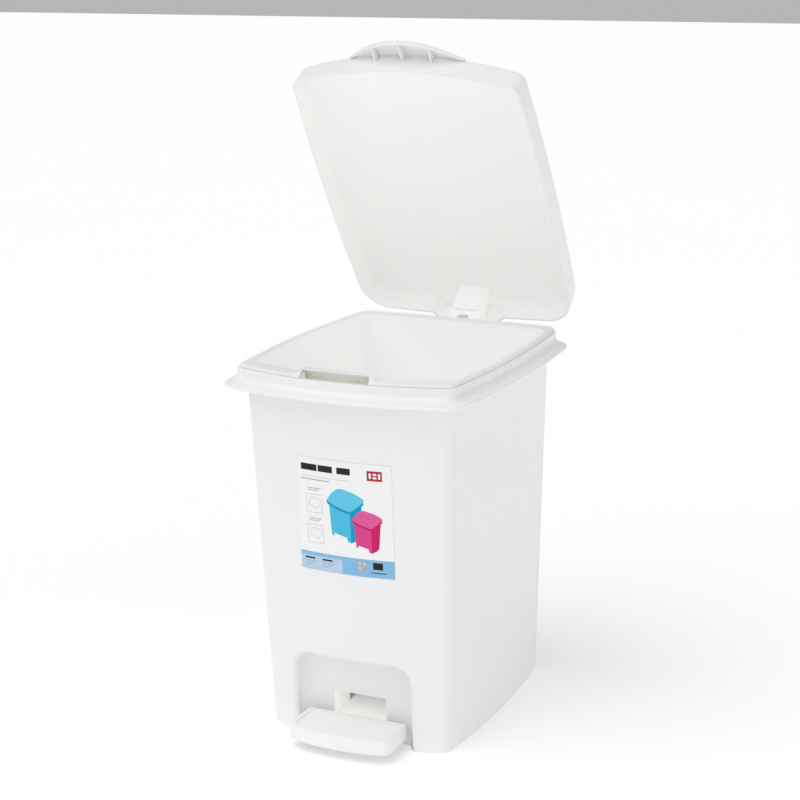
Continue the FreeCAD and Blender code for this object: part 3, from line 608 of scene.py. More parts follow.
def round_bar(bm: BMesh, x0: float, x1: float, centre: tuple[float, float], radius: float,
              edge: float) -> None:
    """Add a cylinder across X with softened ends.

    Args:
        bm: the mesh.
        x0: its left end.
        x1: its right end.
        centre: Y and Z of its axis.
        radius: its radius.
        edge: rounding of its rims.
    """
    lay = Matrix.Translation(((x0 + x1) / 2, *centre)) @ Matrix.Rotation(math.pi / 2, 4, "Y")
    made = bmesh.ops.create_cone(bm, cap_ends=True, segments=40, radius1=radius, radius2=radius,
                                 depth=x1 - x0, matrix=lay)
    rims = [e for e in edges_of(made["verts"]) if abs(e.verts[0].co.x - e.verts[1].co.x) < LEVEL]
    rounded(bm, rims, edge)


def smooth_step(value: float, low: float, high: float) -> float:
    """0 below low, 1 above high, and a smooth rise between."""
    t = min(max((value - low) / (high - low), 0.0), 1.0)
    return t * t * (3 - 2 * t)


# ---------------------------------------------------------------- casing
@dataclass
class Casing:
    """The outer body: tapered wall, rolled flange, collar, pedal recess and rear spine."""
    finish: bpy.types.Material
    pocket_painted_light_finish: bpy.types.Material
    wall: float = 2.5
    body_top: float = 381.0
    foot: Outline = Outline(223.5, 287.0, 21.0, 9.0, 3.0, 14.0, 14.0, 12.0)
    top: Outline = Outline(245.5, 308.0, 22.0, 9.0, 3.0, 14.0, 14.0)
    collar: Outline = Outline(260.0, 323.0, 22.0, 9.0, 3.0, 12.0, 16.0)
    foot_edge: float = 0.9
    gap_columns: int = 20
    low_rows: tuple[float, ...] = (0.0, 1.2, 14.0, 28.0, 42.0, 56.0, 76.0, 98.0, 126.0)
    high_rows: tuple[float, ...] = (200.0, 290.0, 372.0, 388.5)
    recess_half: float = 65.5
    recess_top: float = 94.0
    recess_back: float = -107.5
    recess_corner: float = 18.0
    recess_lip: float = 7.0
    recess_root: float = 12.0
    window_half: float = 29.8
    window_top: float = 46.5
    window_lip: float = 2.2
    tunnel: float = 36.0
    channel_half: float = 20.6
    spine: tuple[float, float] = (20.0, 25.0)               # half widths inside and outside its walls
    ear_radius: float = 7.0
    ear_top: float = 391.2
    ear_y: float = 188.6
    flange: tuple[tuple[float, float], ...] = (
        (-6.9, 9.6), (-6.0, 10.7), (-3.8, 11.0), (-2.5, 10.2), (-1.8, 8.4), (-0.4, 6.6), (2.0, 4.9),
        (5.0, 3.6),
        (7.7, 2.7), (8.7, 1.8), (9.0, 0.8), (9.6, 0.0), (10.7, 0.0), (11.4, 0.6), (11.5, 1.6), (11.5, 2.6),
        (11.0, 3.5), (9.8, 4.2), (8.0, 4.8), (5.6, 5.7), (3.4, 6.9), (1.6, 8.5), (0.5, 10.2), (0.0, 12.2))
    collar_lip: tuple[tuple[float, float], ...] = (
        (0.0, 18.0), (-0.25, 18.7), (-0.9, 19.0), (-1.7, 19.0), (-2.3, 18.7), (-2.5, 18.0), (-2.5, 14.2),
        (-3.1, 13.6), (-8.8, 13.5))

    def plan(self, z: float) -> Outline:
        """The wall's outer outline at a height."""
        return self.foot.toward(self.top, z / self.body_top)

    def _channel(self, p: Vector) -> Vector:
        """Draw the flange in where the rod channel passes."""
        if p.y > 0 and abs(p.x) < self.channel_half:
            return Vector((p.x, min(p.y, self.collar.depth / 2 + 0.1), p.z))
        return p

    def _arch(self, half: float, top: float, radius: float, depth: Callable[[float, float], float]
              ) -> list[Vector]:
        """Points up, over and down an opening with rounded top corners.

        Args:
            half: half its width.
            top: its height.
            radius: radius of its corners.
            depth: gives y at an x and z.

        Returns:
            One point for each vertex of the gap's edge, left foot first.
        """
        rows = len(self.low_rows) - 1
        bend = rows // 2
        rise = [(-half, z) for z in self.low_rows[:rows - bend]]
        arc = [(-half + radius - radius * math.cos(a), top - radius + radius * math.sin(a))
               for a in (math.pi / 4 * k / bend for k in range(2 * bend + 1))]
        flat = self.gap_columns - bend
        over = [(-half + radius + (half - radius) * k / flat, top) for k in range(1, flat + 1)]
        left = rise + arc + over
        whole = left + [(-x, z) for x, z in reversed(left[:-1])]
        return [Vector((x, depth(x, z), z)) for x, z in whole]

    def _recess(self, loft: Loft, outer: list[BMVert], inner: list[BMVert]) -> None:
        """Sink the pedal recess and its window from the gap in the front wall."""
        hem = Hem(loft.bm, outer)
        half, top, corner = self.recess_half, self.recess_top, self.recess_corner
        quarter = [math.pi / 2 * k / 4 for k in range(5)]

        def face(x: float, z: float) -> float:
            return self.plan(z).grown(-self.foot_edge if z <= 0 else 0.0).front_y(x)

        for a in quarter:
            g, d = self.recess_lip * (1 - math.sin(a)), self.recess_lip * (1 - math.cos(a))
            hem.draw(self._arch(half + g, top + g, corner + g, lambda x, z: face(x, z) + d))
        back = self.recess_back
        for a in quarter:
            g, d = self.recess_root * (1 - math.cos(a)), self.recess_root * (1 - math.sin(a))
            hem.draw(self._arch(half - g, top - g, corner - g, lambda x, z: back - d))
        for a in quarter:
            g, d = self.window_lip * (1 - math.sin(a)), self.window_lip * (1 - math.cos(a))
            hem.draw(self._arch(self.window_half + g, self.window_top + g, 1.5 + g, lambda x, z: back + d))
        rear = back + self.tunnel
        for g, y in ((0.0, rear), (self.wall - 0.5, rear), (self.wall - 0.5, back + self.wall)):
            hem.draw(self._arch(self.window_half + g, self.window_top + g, 1.5 + g, lambda x, z: y))
        w = self.wall
        hem.draw(self._arch(half + w, top + w, corner + w, lambda x, z: back + w))
        hem.draw(self._arch(half + w, top + w, corner + w, lambda x, z: self.plan(z).grown(-w).front_y(x)))
        bmesh.ops.bridge_loops(loft.bm, edges=edge_run(loft.bm, hem.run) + edge_run(loft.bm, inner))

    def _gap_edge(self, loft: Loft, rows: Sequence[int]) -> list[BMVert]:
        """Vertices up, over and down the edge of the front gap, from rows given foot first."""
        c = self.gap_columns
        left = [loft.at(r, -c) for r in rows]
        over = [loft.at(rows[-1], k) for k in range(-c + 1, c)]
        return left + over + [loft.at(r, c) for r in reversed(rows)]

    def build(self) -> None:
        """Make the casing and its spine."""
        first = self.plan(0.0).grown(-self.foot_edge)
        loft = Loft(first, 0.0)
        for z in self.low_rows[1:] + self.high_rows:
            loft.draw(self.plan(z), z)
        for reach, up in self.flange:
            loft.draw(self.collar.grown(reach), self.body_top + up, self._channel)
        for reach, up in self.collar_lip:
            loft.draw(self.collar.grown(reach), self.body_top + up)
        for z in reversed(self.low_rows + self.high_rows):
            loft.draw(self.plan(z).grown(-self.wall), z)
        last = len(loft.rows) - 1
        bm = loft.bm
        bmesh.ops.bridge_loops(bm, edges=edge_run(bm, loft.rows[0], True) + edge_run(bm, loft.rows[-1], True))
        low = len(self.low_rows) - 1
        c = self.gap_columns
        foot_strip = [f for f in bm.faces if all(v.co.z < LEVEL for v in f.verts)
                      and all(min(v[loft.step], RING - v[loft.step]) <= c for v in f.verts)]
        outer_rows, inner_rows = list(range(low + 1)), list(range(last, last - low - 1, -1))
        bmesh.ops.delete(bm, geom=foot_strip, context="FACES")
        loft.cut_window(range(0, low), range(-c, c))
        loft.cut_window(range(last - low, last), range(-c, c))
        self._recess(loft, self._gap_edge(loft, outer_rows), self._gap_edge(loft, inner_rows))
        bmesh.ops.holes_fill(bm, edges=bm.edges[:], sides=0)
        block(bm, (-self.window_half - 0.4, self.recess_back + 0.05, 0.0),
              (self.window_half + 0.4, self.recess_back + self.wall, 8.0), 0.5)
        facing(bm, Vector((0.0, -150.0, 250.0)), Vector((0, -1, 0)))
        # Faces in the window tunnel take the second finish, which carries painted glow.
        reach = 1.0
        for face in bm.faces:
            spot = face.calc_center_median()
            if (abs(spot.x) < self.window_half + reach and spot.y > self.recess_back + reach
                    and spot.z < self.window_top + reach):
                face.material_index = 1
        shell = finished(bm, "casing_shell", Body.CASING, self.finish)
        shell.data.materials.append(self.pocket_painted_light_finish)
        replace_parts(shell, "outer_body")
        self._spine()

    def _spine(self) -> None:
        """Make the two side walls of the rear channel, which rise into the hinge ears."""
        bm = bmesh.new()
        ear = [(self.ear_y + self.ear_radius * math.cos(a),
                self.ear_top - self.ear_radius * (1 - math.sin(a)))
               for a in (math.radians(d) for d in (0, 22, 45, 67, 90))]
        profile = [(153.4, 0.0), (179.5, 0.0), (179.5, 352.0), (195.6, 376.2)] + ear + [
            (170.0, self.ear_top), (160.0, 386.0), (153.4, 383.0)]
        near, far = self.spine
        for x0, x1 in ((-far, -near), (near, far)):
            plate(bm, profile, x0, x1, 0.8)
        outward(bm)
        finished(bm, "channel_walls", Body.CASING, self.finish)
        bm = bmesh.new()
        block(bm, (-far, 179.6, 6.0), (far, 182.0, 352.0), 1.0)
        outer = [f for f in bm.faces if f.normal.y > 0.99 and f.calc_area() > 4000.0]   # the large rear face
        bmesh.ops.inset_region(bm, faces=outer, thickness=7.0, depth=0.0)
        bmesh.ops.inset_region(bm, faces=outer, thickness=1.2, depth=-0.9)
        block(bm, (-19.6, 177.0, 8.0), (19.6, 179.65, 350.0), 0.4)
        outward(bm)
        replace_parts(finished(bm, "channel_cover", Body.CASING, self.finish), "spine_cover")


# ---------------------------------------------------------------- bucket
@dataclass
class Bucket:
    """Lift-out bucket with a flat rim, a finger slot and a raised bridge over it."""
    finish: bpy.types.Material
    inner_finish: bpy.types.Material
    pocket_painted_light_finish: bpy.types.Material
    rim_top: float = 403.7
    skin: float = 1.8
    seat: Outline = Outline(258.0, 321.0, 22.0, 9.0, 3.0, 11.0, 15.0)
    rim: Outline = Outline(251.0, 319.0, 22.0, 9.0, 3.0, 10.0, 14.0)
    mouth: Outline = Outline(241.0, 286.0, 21.0, 8.0, 3.0, 16.0, 16.0, 3.0)
    throat: Outline = Outline(234.0, 280.0, 20.0, 8.0, 3.0, 16.0, 16.0, 5.0)
    well: Outline = Outline(203.0, 238.0, 15.0, 7.0, 3.0, 24.0, 24.0, 27.0)
    throat_drop: float = 19.0
    floor: float = 53.8
    floor_radius: float = 9.0
    inner_margin: tuple[float, float] = (2.9, 1.0)          # from the mouth's front, and below the rim
    bridge_rise: float = 4.6
    bridge_front: float = -152.0
    bridge_half: tuple[float, float] = (45.0, 38.0)
    slot_columns: int = 8

    def _bridged(self, p: Vector) -> Vector:
        """Raise the rim into the finger bridge and draw its front edge back."""
        if p.y > 0:
            return p
        share = 1.0 - smooth_step(abs(p.x), self.bridge_half[1], self.bridge_half[0])
        y = p.y + share * max(self.bridge_front - p.y, 0.0)
        return Vector((p.x, y, p.z + self.bridge_rise * share))

    def build(self) -> None:
        """Make the bucket."""
        top = self.rim_top
        loft = Loft(self.seat.grown(-1.1), top - 3.7)
        for drop in (3.3, 2.5):
            loft.draw(self.seat.grown(-0.5), top - drop)
        for ring, drop in ((self.rim.grown(0.7), 0.5), (self.rim, 0.1), (self.rim.grown(-0.8), 0.0),
                           (self.mouth.grown(1.6), 0.0), (self.mouth.grown(0.5), 0.45), (self.mouth, 1.6)):
            loft.draw(ring, top - drop, self._bridged)
        loft.draw(self.mouth.toward(self.throat, 0.35), top - 7.0)
        loft.draw(self.mouth.toward(self.throat, 0.9), top - self.throat_drop + 1.5)
        throat_z = top - self.throat_drop
        loft.draw(self.throat.grown(-0.5), throat_z)
        depth = throat_z - self.floor
        for share in (0.02, 0.25, 0.5, 0.75, 0.93):
            loft.draw(self.throat.grown(-0.5).toward(self.well, share), throat_z - depth * share)
        for a in (0.0, 30.0, 60.0, 90.0):
            turn = math.radians(a)
            loft.draw(self.well.grown(-self.floor_radius * (1 - math.cos(turn))),
                      self.floor + self.floor_radius * (1 - math.sin(turn)))
        loft.cap()
        c = self.slot_columns
        loft.cut_window(range(0, 3), range(-c, c))
        facing(loft.bm, Vector((0.0, 20.0, self.floor)), Vector((0, 0, 1)))
        # Faces inside the bucket take the second finish, which carries painted glow.
        front, below = -self.mouth.depth / 2 + self.inner_margin[0], top - self.inner_margin[1]
        for face in loft.bm.faces:
            if all(abs(v.co.x) < self.mouth.width / 2 and v.co.y > front and v.co.z < below
                   for v in face.verts):
                face.material_index = 1
        piece = finished(loft.bm, "bucket", Body.CASING, self.finish, skin=self.skin, edge=0.35)
        piece.data.materials.append(self.inner_finish)
        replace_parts(piece, "inner_bucket")
        self._slot_floor()

    def _slot_floor(self) -> None:
        """Make the ledge that closes the pocket under the finger slot."""
        bm = bmesh.new()
        block(bm, (-41.0, -153.5, 394.6), (41.0, -140.6, 396.2), 0.4)
        for x in (-40.6, 39.2):
            block(bm, (x, -153.5, 395.8), (x + 1.4, -141.0, 403.0), 0.4)
        outward(bm)
        # The ledge's finish is painted shade in a tan tint, plus painted glow.
        finished(bm, "finger_slot_floor", Body.CASING, self.pocket_painted_light_finish)


# ---------------------------------------------------------------- lid
@dataclass
class Lid:
    """Domed lid with an upright skirt, a crescent hand-hold and hinge arms, drawn shut and then opened."""
    finish: bpy.types.Material
    inner_finish: bpy.types.Material
    # The hood's finish carries painted glow; the hinge arms share it.
    hood_glow_finish: bpy.types.Material
    rim_z: float = 392.0
    skirt: float = 28.0
    skin: float = 2.5
    draft: float = 1.3
    open_angle: float = 57.0
    hinge: tuple[float, float] = (188.6, 384.2)
    plan: Outline = Outline(266.3, 349.6, 20.0, 4.8, 3.3, 12.4, 34.0)
    dome: tuple[tuple[float, float], ...] = (
        (0.0, -1.8), (0.25, -0.8), (0.9, 0.3), (2.0, 1.4), (5.0, 3.9), (9.5, 7.2), (14.5, 10.4), (21.0, 13.4),
        (30.0, 16.2), (42.0, 18.5), (58.0, 20.1))
    crown: tuple[tuple[float, float], ...] = ((0.8, 20.5), (0.55, 20.8), (0.3, 20.95), (0.12, 21.0),
                                              (0.02, 21.0))
    bay_half: float = 41.0
    bay_depth: float = 7.0
    grip_half: float = 65.3
    grip_reach: float = 27.4
    grip_drop: float = 9.6
    grip_root: float = -170.2
    grip_z: float = 421.0
    ribs: tuple[float, ...] = (-32.0, 0.0, 32.0)
    rib_half: float = 1.1
    arms: tuple[float, float] = (15.5, 18.5)                # half widths inside and outside the cheeks
    hood_half: float = 15.2

    def _opened(self, bm: BMesh) -> BMesh:
        """Turn a mesh about the hinge to where the lid stands open."""
        bmesh.ops.rotate(bm, cent=(0.0, *self.hinge), verts=bm.verts[:],
                         matrix=Matrix.Rotation(math.radians(-self.open_angle), 3, "X"))
        return bm

    def _bay(self, p: Vector) -> Vector:
        """Set the rear skirt back behind the hinge."""
        if p.y < 0:
            return p
        share = 1 - smooth_step(abs(p.x), self.bay_half - 3, self.bay_half + 3)
        return p + Vector((0, self.bay_depth * share, 0))

    def build(self) -> None:
        """Make the lid's shell, hand-hold, hinge arms and hood."""
        self._shell()
        self._grip()
        self._arms()
        self._hood()

    def _shell(self) -> None:
        """Make the skirt and dome."""
        loft = Loft(self.plan, self.rim_z)
        for vert in loft.rows[0]:
            vert.co = self._bay(vert.co)
        for outset, up in ((-0.3, 8.0), (-0.75, 16.0), (-0.8, 17.5)):
            loft.draw(self.plan.grown(outset), self.rim_z + up, self._bay)
        loft.draw(self.plan.grown(-0.9), self.rim_z + 22.5)
        skirt_top = self.rim_z + self.skirt
        edge = self.plan.grown(-self.draft)
        for inset, rise in self.dome:
            loft.draw(edge.grown(-inset, rounder=-0.3), skirt_top + rise)
        inmost = edge.grown(-self.dome[-1][0], rounder=-0.3)
        for share, rise in self.crown:
            loft.draw(inmost.scaled(share), skirt_top + rise)
        loft.cap()
        bm = loft.bm
        facing(bm, Vector((0, 0, 441.0)), Vector((0, 0, 1)))
        # The far side of the lid's wall takes a finish with painted glow.
        piece = finished(self._opened(bm), "lid_shell", Body.LID, self.finish,
                         skin=self.skin, edge=0.6, behind=self.inner_finish)
        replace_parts(piece, "lid")

    def _grip(self) -> None:
        """Make the crescent hand-hold and its ribs."""
        section = ((-0.16, 0.10), (0.0, 0.0), (0.22, -0.06), (0.45, -0.17), (0.66, -0.32), (0.84, -0.55),
                   (0.94, -0.74), (0.985, -0.92), (1.0, -1.1), (1.0, -1.3), (0.99, -1.52))
        bm = bmesh.new()
        bmesh.ops.create_grid(bm, x_segments=48, y_segments=len(section) - 1, size=1.0)
        for vert in bm.verts:
            u, row = vert.co.x, round((vert.co.y + 1) / 2 * (len(section) - 1))
            swell = 1 - u * u
            out, fall = section[row]
            vert.co = Vector((u * self.grip_half, self.grip_root - self.grip_reach * out * max(swell, 0.02),
                              self.grip_z + self.grip_drop * fall * (0.25 + 0.75 * swell)))
        facing(bm, Vector((0, self.grip_root - 10, self.grip_z)), Vector((0, 0, 1)))
        finished(self._opened(bm), "hand_hold", Body.LID, self.finish, skin=2.2, edge=0.5)
        bm = bmesh.new()
        for x in self.ribs:
            swell = 1 - (x / self.grip_half) ** 2
            tip = self.grip_root - self.grip_reach * swell + 1.6
            plate(bm, [(self.grip_root + 1.0, 409.5), (self.grip_root + 1.0, self.grip_z - 0.6),
                       (self.grip_root - 8.0 * swell, self.grip_z - 2.2), (tip, self.grip_z - 8.4 * swell - 1.0),
                       (tip, self.grip_z - 13.0 * swell - 1.0)],
                  x - self.rib_half, x + self.rib_half, 0.4)
        outward(bm)
        finished(self._opened(bm), "hand_hold_ribs", Body.LID, self.finish)

    def _arms(self) -> None:
        """Make the two cheeks and the hinge barrel between the casing's ears."""
        y, z = self.hinge
        bm = bmesh.new()
        profile = [(160.5, 430.0), (164.0, 392.0), (164.4, 377.0), (171.0, 372.0), (y, z - 7.0),
                   (y + 5.0, z - 4.6), (y + 7.0, z), (y + 6.0, z + 4.0), (180.0, 405.0), (174.0, 421.0),
                   (167.0, 428.0)]
        near, far = self.arms
        for x0, x1 in ((-far, -near), (near, far)):
            plate(bm, profile, x0, x1, 0.6)
        round_bar(bm, -16.0, 16.0, self.hinge, 6.0, 0.4)
        outward(bm)
        finished(self._opened(bm), "hinge_arms", Body.LID, self.hood_glow_finish)

    def _hood(self) -> None:
        """Make the hood that clips in between the cheeks."""
        bm = bmesh.new()
        half, foot, rise = self.hood_half, 392.0, 36.5
        for vert in cuboid(bm, (-half, 164.0, foot), (half, 167.0, foot + rise)):
            share = (vert.co.z - foot) / rise
            vert.co.y -= 3.3 * share + (0.6 if vert.co.y < 165 else 0.0)
        edges = [e for e in bm.edges if sum(v.co.y < 165.5 for v in e.verts) == 2]
        rounded(bm, edges, 0.9, segments=3, clamp=False)
        for low, high, edge in (((-half, 164.0, 383.2), (half, 166.4, 388.9), 0.6),
                                ((-half, 164.1, 388.0), (-13.4, 166.2, 392.6), 0.4),
                                ((13.4, 164.1, 388.0), (half, 166.2, 392.6), 0.4),
                                ((-1.3, 163.7, 384.4), (1.3, 166.2, 392.4), 0.5),
                                ((-15.0, 166.0, 384.0), (15.0, 167.4, 393.0), 0.3)):
            block(bm, low, high, edge)
        for side in (-half, 6.4):
            block(bm, (side, 164.1, 377.8), (side + 8.8, 166.2, 384.0), 0.5)
        outward(bm)
        piece = finished(self._opened(bm), "hinge_hood", Body.LID, self.hood_glow_finish)
        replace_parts(piece, "hinge_cover")


# ---------------------------------------------------------------- pedal
@dataclass
class Pedal:
    """The tread with its raised border and the neck that passes into the casing."""
    finish: bpy.types.Material
    neck_glow_finish: bpy.types.Material
    tread: Outline = Outline(118.0, 60.5, 8.0, 0.6, 0.3, 9.0, 4.0, -142.25)
    low: float = 11.4
    top: float = 26.5
    skin: float = 3.0
    border: float = 7.0
    dish: float = 2.0
    run_out: float = 1.6
    tread_draft: float = 0.5
    tread_radius: float = 3.6
    neck_half: float = 28.0

    def build(self) -> None:
        """Make the tread and neck."""
        loft = Loft(self.tread, self.low)
        loft.draw(self.tread.grown(-self.tread_draft), self.top - 5.0)
        for a in (0, 22.5, 45, 67.5, 90):
            turn = math.radians(a)
            loft.draw(self.tread.grown(-self.tread_draft - self.tread_radius * (1 - math.cos(turn))),
                      self.top - self.tread_radius * (1 - math.sin(turn)))
        inner = self.tread.grown(-self.border)
        inner = replace(inner, depth=inner.depth + self.run_out, shift=inner.shift + self.run_out / 2)
        for inset, drop in ((-0.8, 0.0), (-0.3, 0.15), (0.0, 0.7), (0.2, 1.5), (0.7, 1.95), (1.6, 2.0)):
            loft.draw(inner.grown(-inset), self.top - drop)
        loft.draw(inner.scaled(0.5), self.top - self.dish)
        loft.cap()
        facing(loft.bm, Vector((0, -142, self.top)), Vector((0, 0, 1)))
        piece = finished(loft.bm, "pedal_pad", Body.PEDAL, self.finish, skin=self.skin, edge=0.6)
        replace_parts(piece, "pedal_tread")
        self._neck()

    def _neck(self) -> None:
        """Make the arched neck behind the tread."""
        line = ((-117.0, 24.6), (-113.0, 24.3), (-110.5, 22.2), (-108.0, 20.2), (-103.0, 19.8), (-97.0, 20.9),
                (-89.0, 22.6), (-80.0, 24.4), (-70.0, 26.2), (-60.0, 27.6))
        bm = bmesh.new()
        bmesh.ops.create_grid(bm, x_segments=20, y_segments=len(line) - 1, size=1.0)
        for vert in bm.verts:
            u, row = vert.co.x, round((vert.co.y + 1) / 2 * (len(line) - 1))
            y, z = line[row]
            x = math.copysign(min(abs(u) * 1.12, 1.0), u) * self.neck_half
            fall = 7.0 * smooth_step(abs(u), 0.86, 1.0)
            vert.co = Vector((x, y, z - fall - 0.6 * u * u))
        facing(bm, Vector((0, -90, 24)), Vector((0, 0, 1)))
        # The neck's finish carries painted glow.
        finished(bm, "pedal_neck", Body.PEDAL, self.neck_glow_finish, skin=2.6, edge=0.5)


# ---------------------------------------------------------------- label
@dataclass(frozen=True)
class Print:
    """A flat printed shape: its ink and its corners, measured right and down from the label's top left."""
    ink: Ink
    corners: tuple[tuple[float, float], ...]
    level: int = 1


def bar(ink: Ink, left: float, top: float, right: float, bottom: float, level: int = 1) -> Print:
    """A printed rectangle."""
    return Print(ink, ((left, top), (right, top), (right, bottom), (left, bottom)), level)


def frame_of(ink: Ink, left: float, top: float, right: float, bottom: float, line: float) -> list[Print]:
    """A printed rectangular outline made of four bars."""
    return [bar(ink, left, top, right, top + line), bar(ink, left, bottom - line, right, bottom),
            bar(ink, left, top + line, left + line, bottom - line),
            bar(ink, right - line, top + line, right, bottom - line)]


def small_bin(left: float, top: float, size: float, lit: Ink, flat: Ink, deep: Ink) -> list[Print]:
    """A plain picture of a bin with a shut lid.

    Args:
        left: its left edge.
        top: its top edge.
        size: its width.
        lit: ink of the lid.
        flat: ink of the front.
        deep: ink of the side.

    Returns:
        Its printed shapes.
    """
    def at(*spots: tuple[float, float]) -> tuple[tuple[float, float], ...]:
        return tuple((left + size * x, top + size * y) for x, y in spots)

    edge = ((0.0, 0.34), (0.18, 0.44), (0.40, 0.52), (0.60, 0.57), (0.68, 0.54), (0.98, 0.29))
    lip = [Print(deep, at(a, b, (b[0], b[1] + 0.07), (a[0] + 0.01, a[1] + 0.07)), 2)
           for a, b in zip(edge, edge[1:])]
    return lip + [
        Print(lit, at((0.0, 0.34), (0.14, 0.14), (0.30, 0.02), (0.42, 0.0), (0.72, 0.08), (0.90, 0.16),
                      (1.0, 0.24), (0.98, 0.29), (0.68, 0.54), (0.60, 0.57), (0.40, 0.52), (0.18, 0.44)), 2),
        Print(flat, at((0.06, 0.40), (0.30, 0.48), (0.62, 0.58), (0.63, 1.28), (0.11, 1.14)), 1),
        Print(flat, at((0.11, 1.12), (0.18, 1.14), (0.18, 1.24), (0.12, 1.22)), 1),
        Print(flat, at((0.52, 1.24), (0.63, 1.27), (0.63, 1.38), (0.54, 1.35)), 1),
        Print(deep, at((0.62, 0.58), (0.94, 0.33), (0.86, 1.20), (0.78, 1.30), (0.63, 1.38)), 1),
    ]


@dataclass
class Label:
    """Sticker on the front wall with plain bars and pictures in place of any wording."""
    casing: Casing
    left: float = -49.0
    right: float = 56.6
    top: float = 316.0
    bottom: float = 194.0
    film: float = 0.25
    film_gap: float = 0.02
    ink_step: float = 0.05
    ink_film: float = 0.03
    strip: float = 4.0

    def _wrapped(self, bm: BMesh, lift: float) -> None:
        """Lay a flat mesh, drawn in X and Z, against the front wall."""
        for vert in bm.verts:
            x, z = vert.co.x, vert.co.z
            vert.co.y = self.casing.plan(z).front_y(x) - lift
        facing(bm, Vector((0, -150, 250)), Vector((0, -1, 0)))

    def _artwork(self) -> list[Print]:
        """Everything that is printed on the label."""
        art = [bar(Ink.BLACK, 5, 6.6, 24, 13.6), bar(Ink.BLACK, 25.4, 6.6, 42, 13.6),
               bar(Ink.BLACK, 47, 6.6, 62, 13.6), bar(Ink.ROSE, 5, 19.6, 62, 20.1),
               bar(Ink.GREY, 5, 22.6, 38, 23.7)]
        art += [bar(Ink.RED, 80, 6.8, 96, 17.4), bar(Ink.FILM, 82.2, 9.2, 84.6, 15.0, 2),
                bar(Ink.FILM, 86.4, 9.2, 90.2, 11.4, 2), bar(Ink.FILM, 86.4, 12.8, 90.2, 15.0, 2),
                bar(Ink.FILM, 92.0, 9.2, 94.2, 15.0, 2)]
        for y0 in (32.0, 65.0):
            art += [bar(Ink.GREY, 12, y0, 27, y0 + 0.9), bar(Ink.GREY, 12, y0 + 2.2, 25, y0 + 3.0)]
            art += frame_of(Ink.GREY, 10, y0 + 7, 29, y0 + 27, 0.35)
            art += [Print(Ink.GREY, ((13, y0 + 18), (22, y0 + 22), (22, y0 + 22.4), (13, y0 + 18.4))),
                    Print(Ink.GREY, ((22, y0 + 22), (26.5, y0 + 17), (26.5, y0 + 17.4), (22, y0 + 22.4))),
                    Print(Ink.GREY, ((13, y0 + 13), (17, y0 + 10), (17, y0 + 10.4), (13, y0 + 13.4))),
                    Print(Ink.GREY, ((17, y0 + 10), (26.5, y0 + 12), (26.5, y0 + 12.4), (17, y0 + 10.4))),
                    bar(Ink.GREY, 13, y0 + 13, 13.35, y0 + 18.4),
                    bar(Ink.GREY, 26.2, y0 + 12, 26.5, y0 + 17.4)]
        art += small_bin(34, 29, 42, Ink.BLUE_LIT, Ink.BLUE, Ink.BLUE_DEEP)
        art += [replace(p, level=p.level + 2)
                for p in small_bin(62, 50, 33, Ink.PINK_LIT, Ink.PINK, Ink.PINK_DEEP)]
        art += [bar(Ink.SKY, 0, 102.6, 105.6, 122), bar(Ink.PALE, 0.4, 106.6, 49, 121.6, 2),
                bar(Ink.BLACK, 5, 108.6, 17, 110.4, 3), bar(Ink.BLACK, 26, 108.6, 38, 110.4, 3)]
        for x0 in (5.0, 26.0):
            art += [bar(Ink.GREY, x0, 112.4 + 2.2 * k, x0 + 15 - 4 * k, 113.1 + 2.2 * k, 3) for k in range(3)]
        art += [bar(Ink.GREY, 65.5, 104.6, 77, 116, 2), bar(Ink.PALE, 67, 106.2, 70.4, 109.6, 3),
                bar(Ink.PALE, 72, 106.2, 75.4, 109.6, 3), bar(Ink.PALE, 67, 111.2, 70.4, 114.4, 3),
                bar(Ink.BLACK, 83.0, 105.4, 93.5, 113.0, 2), bar(Ink.BLACK, 80.5, 116.2, 97, 117.2, 2)]
        return art

    def build(self) -> None:
        """Make the film and each ink."""
        bm = bmesh.new()
        bmesh.ops.create_grid(bm, x_segments=30, y_segments=8, size=1.0,
                              matrix=Matrix.Rotation(math.pi / 2, 4, "X"))
        bmesh.ops.scale(bm, vec=((self.right - self.left) / 2, 1, (self.top - self.bottom) / 2),
                        verts=bm.verts[:])
        bmesh.ops.translate(bm, vec=((self.right + self.left) / 2, 0, (self.top + self.bottom) / 2),
                            verts=bm.verts[:])
        self._wrapped(bm, self.film + self.film_gap)
        inks = {ink: ink.value.made() for ink in Ink}
        film = finished(bm, "label_film", Body.CASING, inks[Ink.FILM], skin=self.film)
        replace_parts(film, "label")
        art = self._artwork()
        for ink in Ink:
            shapes = [p for p in art if p.ink is ink]
            if not shapes:
                continue
            bm = bmesh.new()
            for shape in shapes:
                self._stamp(bm, shape)
            finished(bm, f"label_{ink.name.lower()}", Body.CASING, inks[ink],
                     skin=self.ink_film)

    def _stamp(self, bm: BMesh, shape: Print) -> None:
        """Print one shape, cut into strips so that it follows the wall."""
        part = bmesh.new()
        corners = [part.verts.new((self.left + u, 0.0, self.top - v)) for u, v in shape.corners]
        bmesh.ops.contextual_create(part, geom=corners)
        low, high = min(v.co.x for v in corners), max(v.co.x for v in corners)
        for k in range(math.ceil(low / self.strip), math.floor(high / self.strip) + 1):
            bmesh.ops.bisect_plane(part, geom=part.verts[:] + part.edges[:] + part.faces[:], dist=0.001,
                                   plane_co=(k * self.strip, 0, 0), plane_no=(1, 0, 0))
        self._wrapped(part, self.film + self.film_gap + self.ink_step * shape.level)
        whole = bpy.data.meshes.new("stamp")
        part.to_mesh(whole)
        part.free()
        bm.from_mesh(whole)
        bpy.data.meshes.remove(whole)


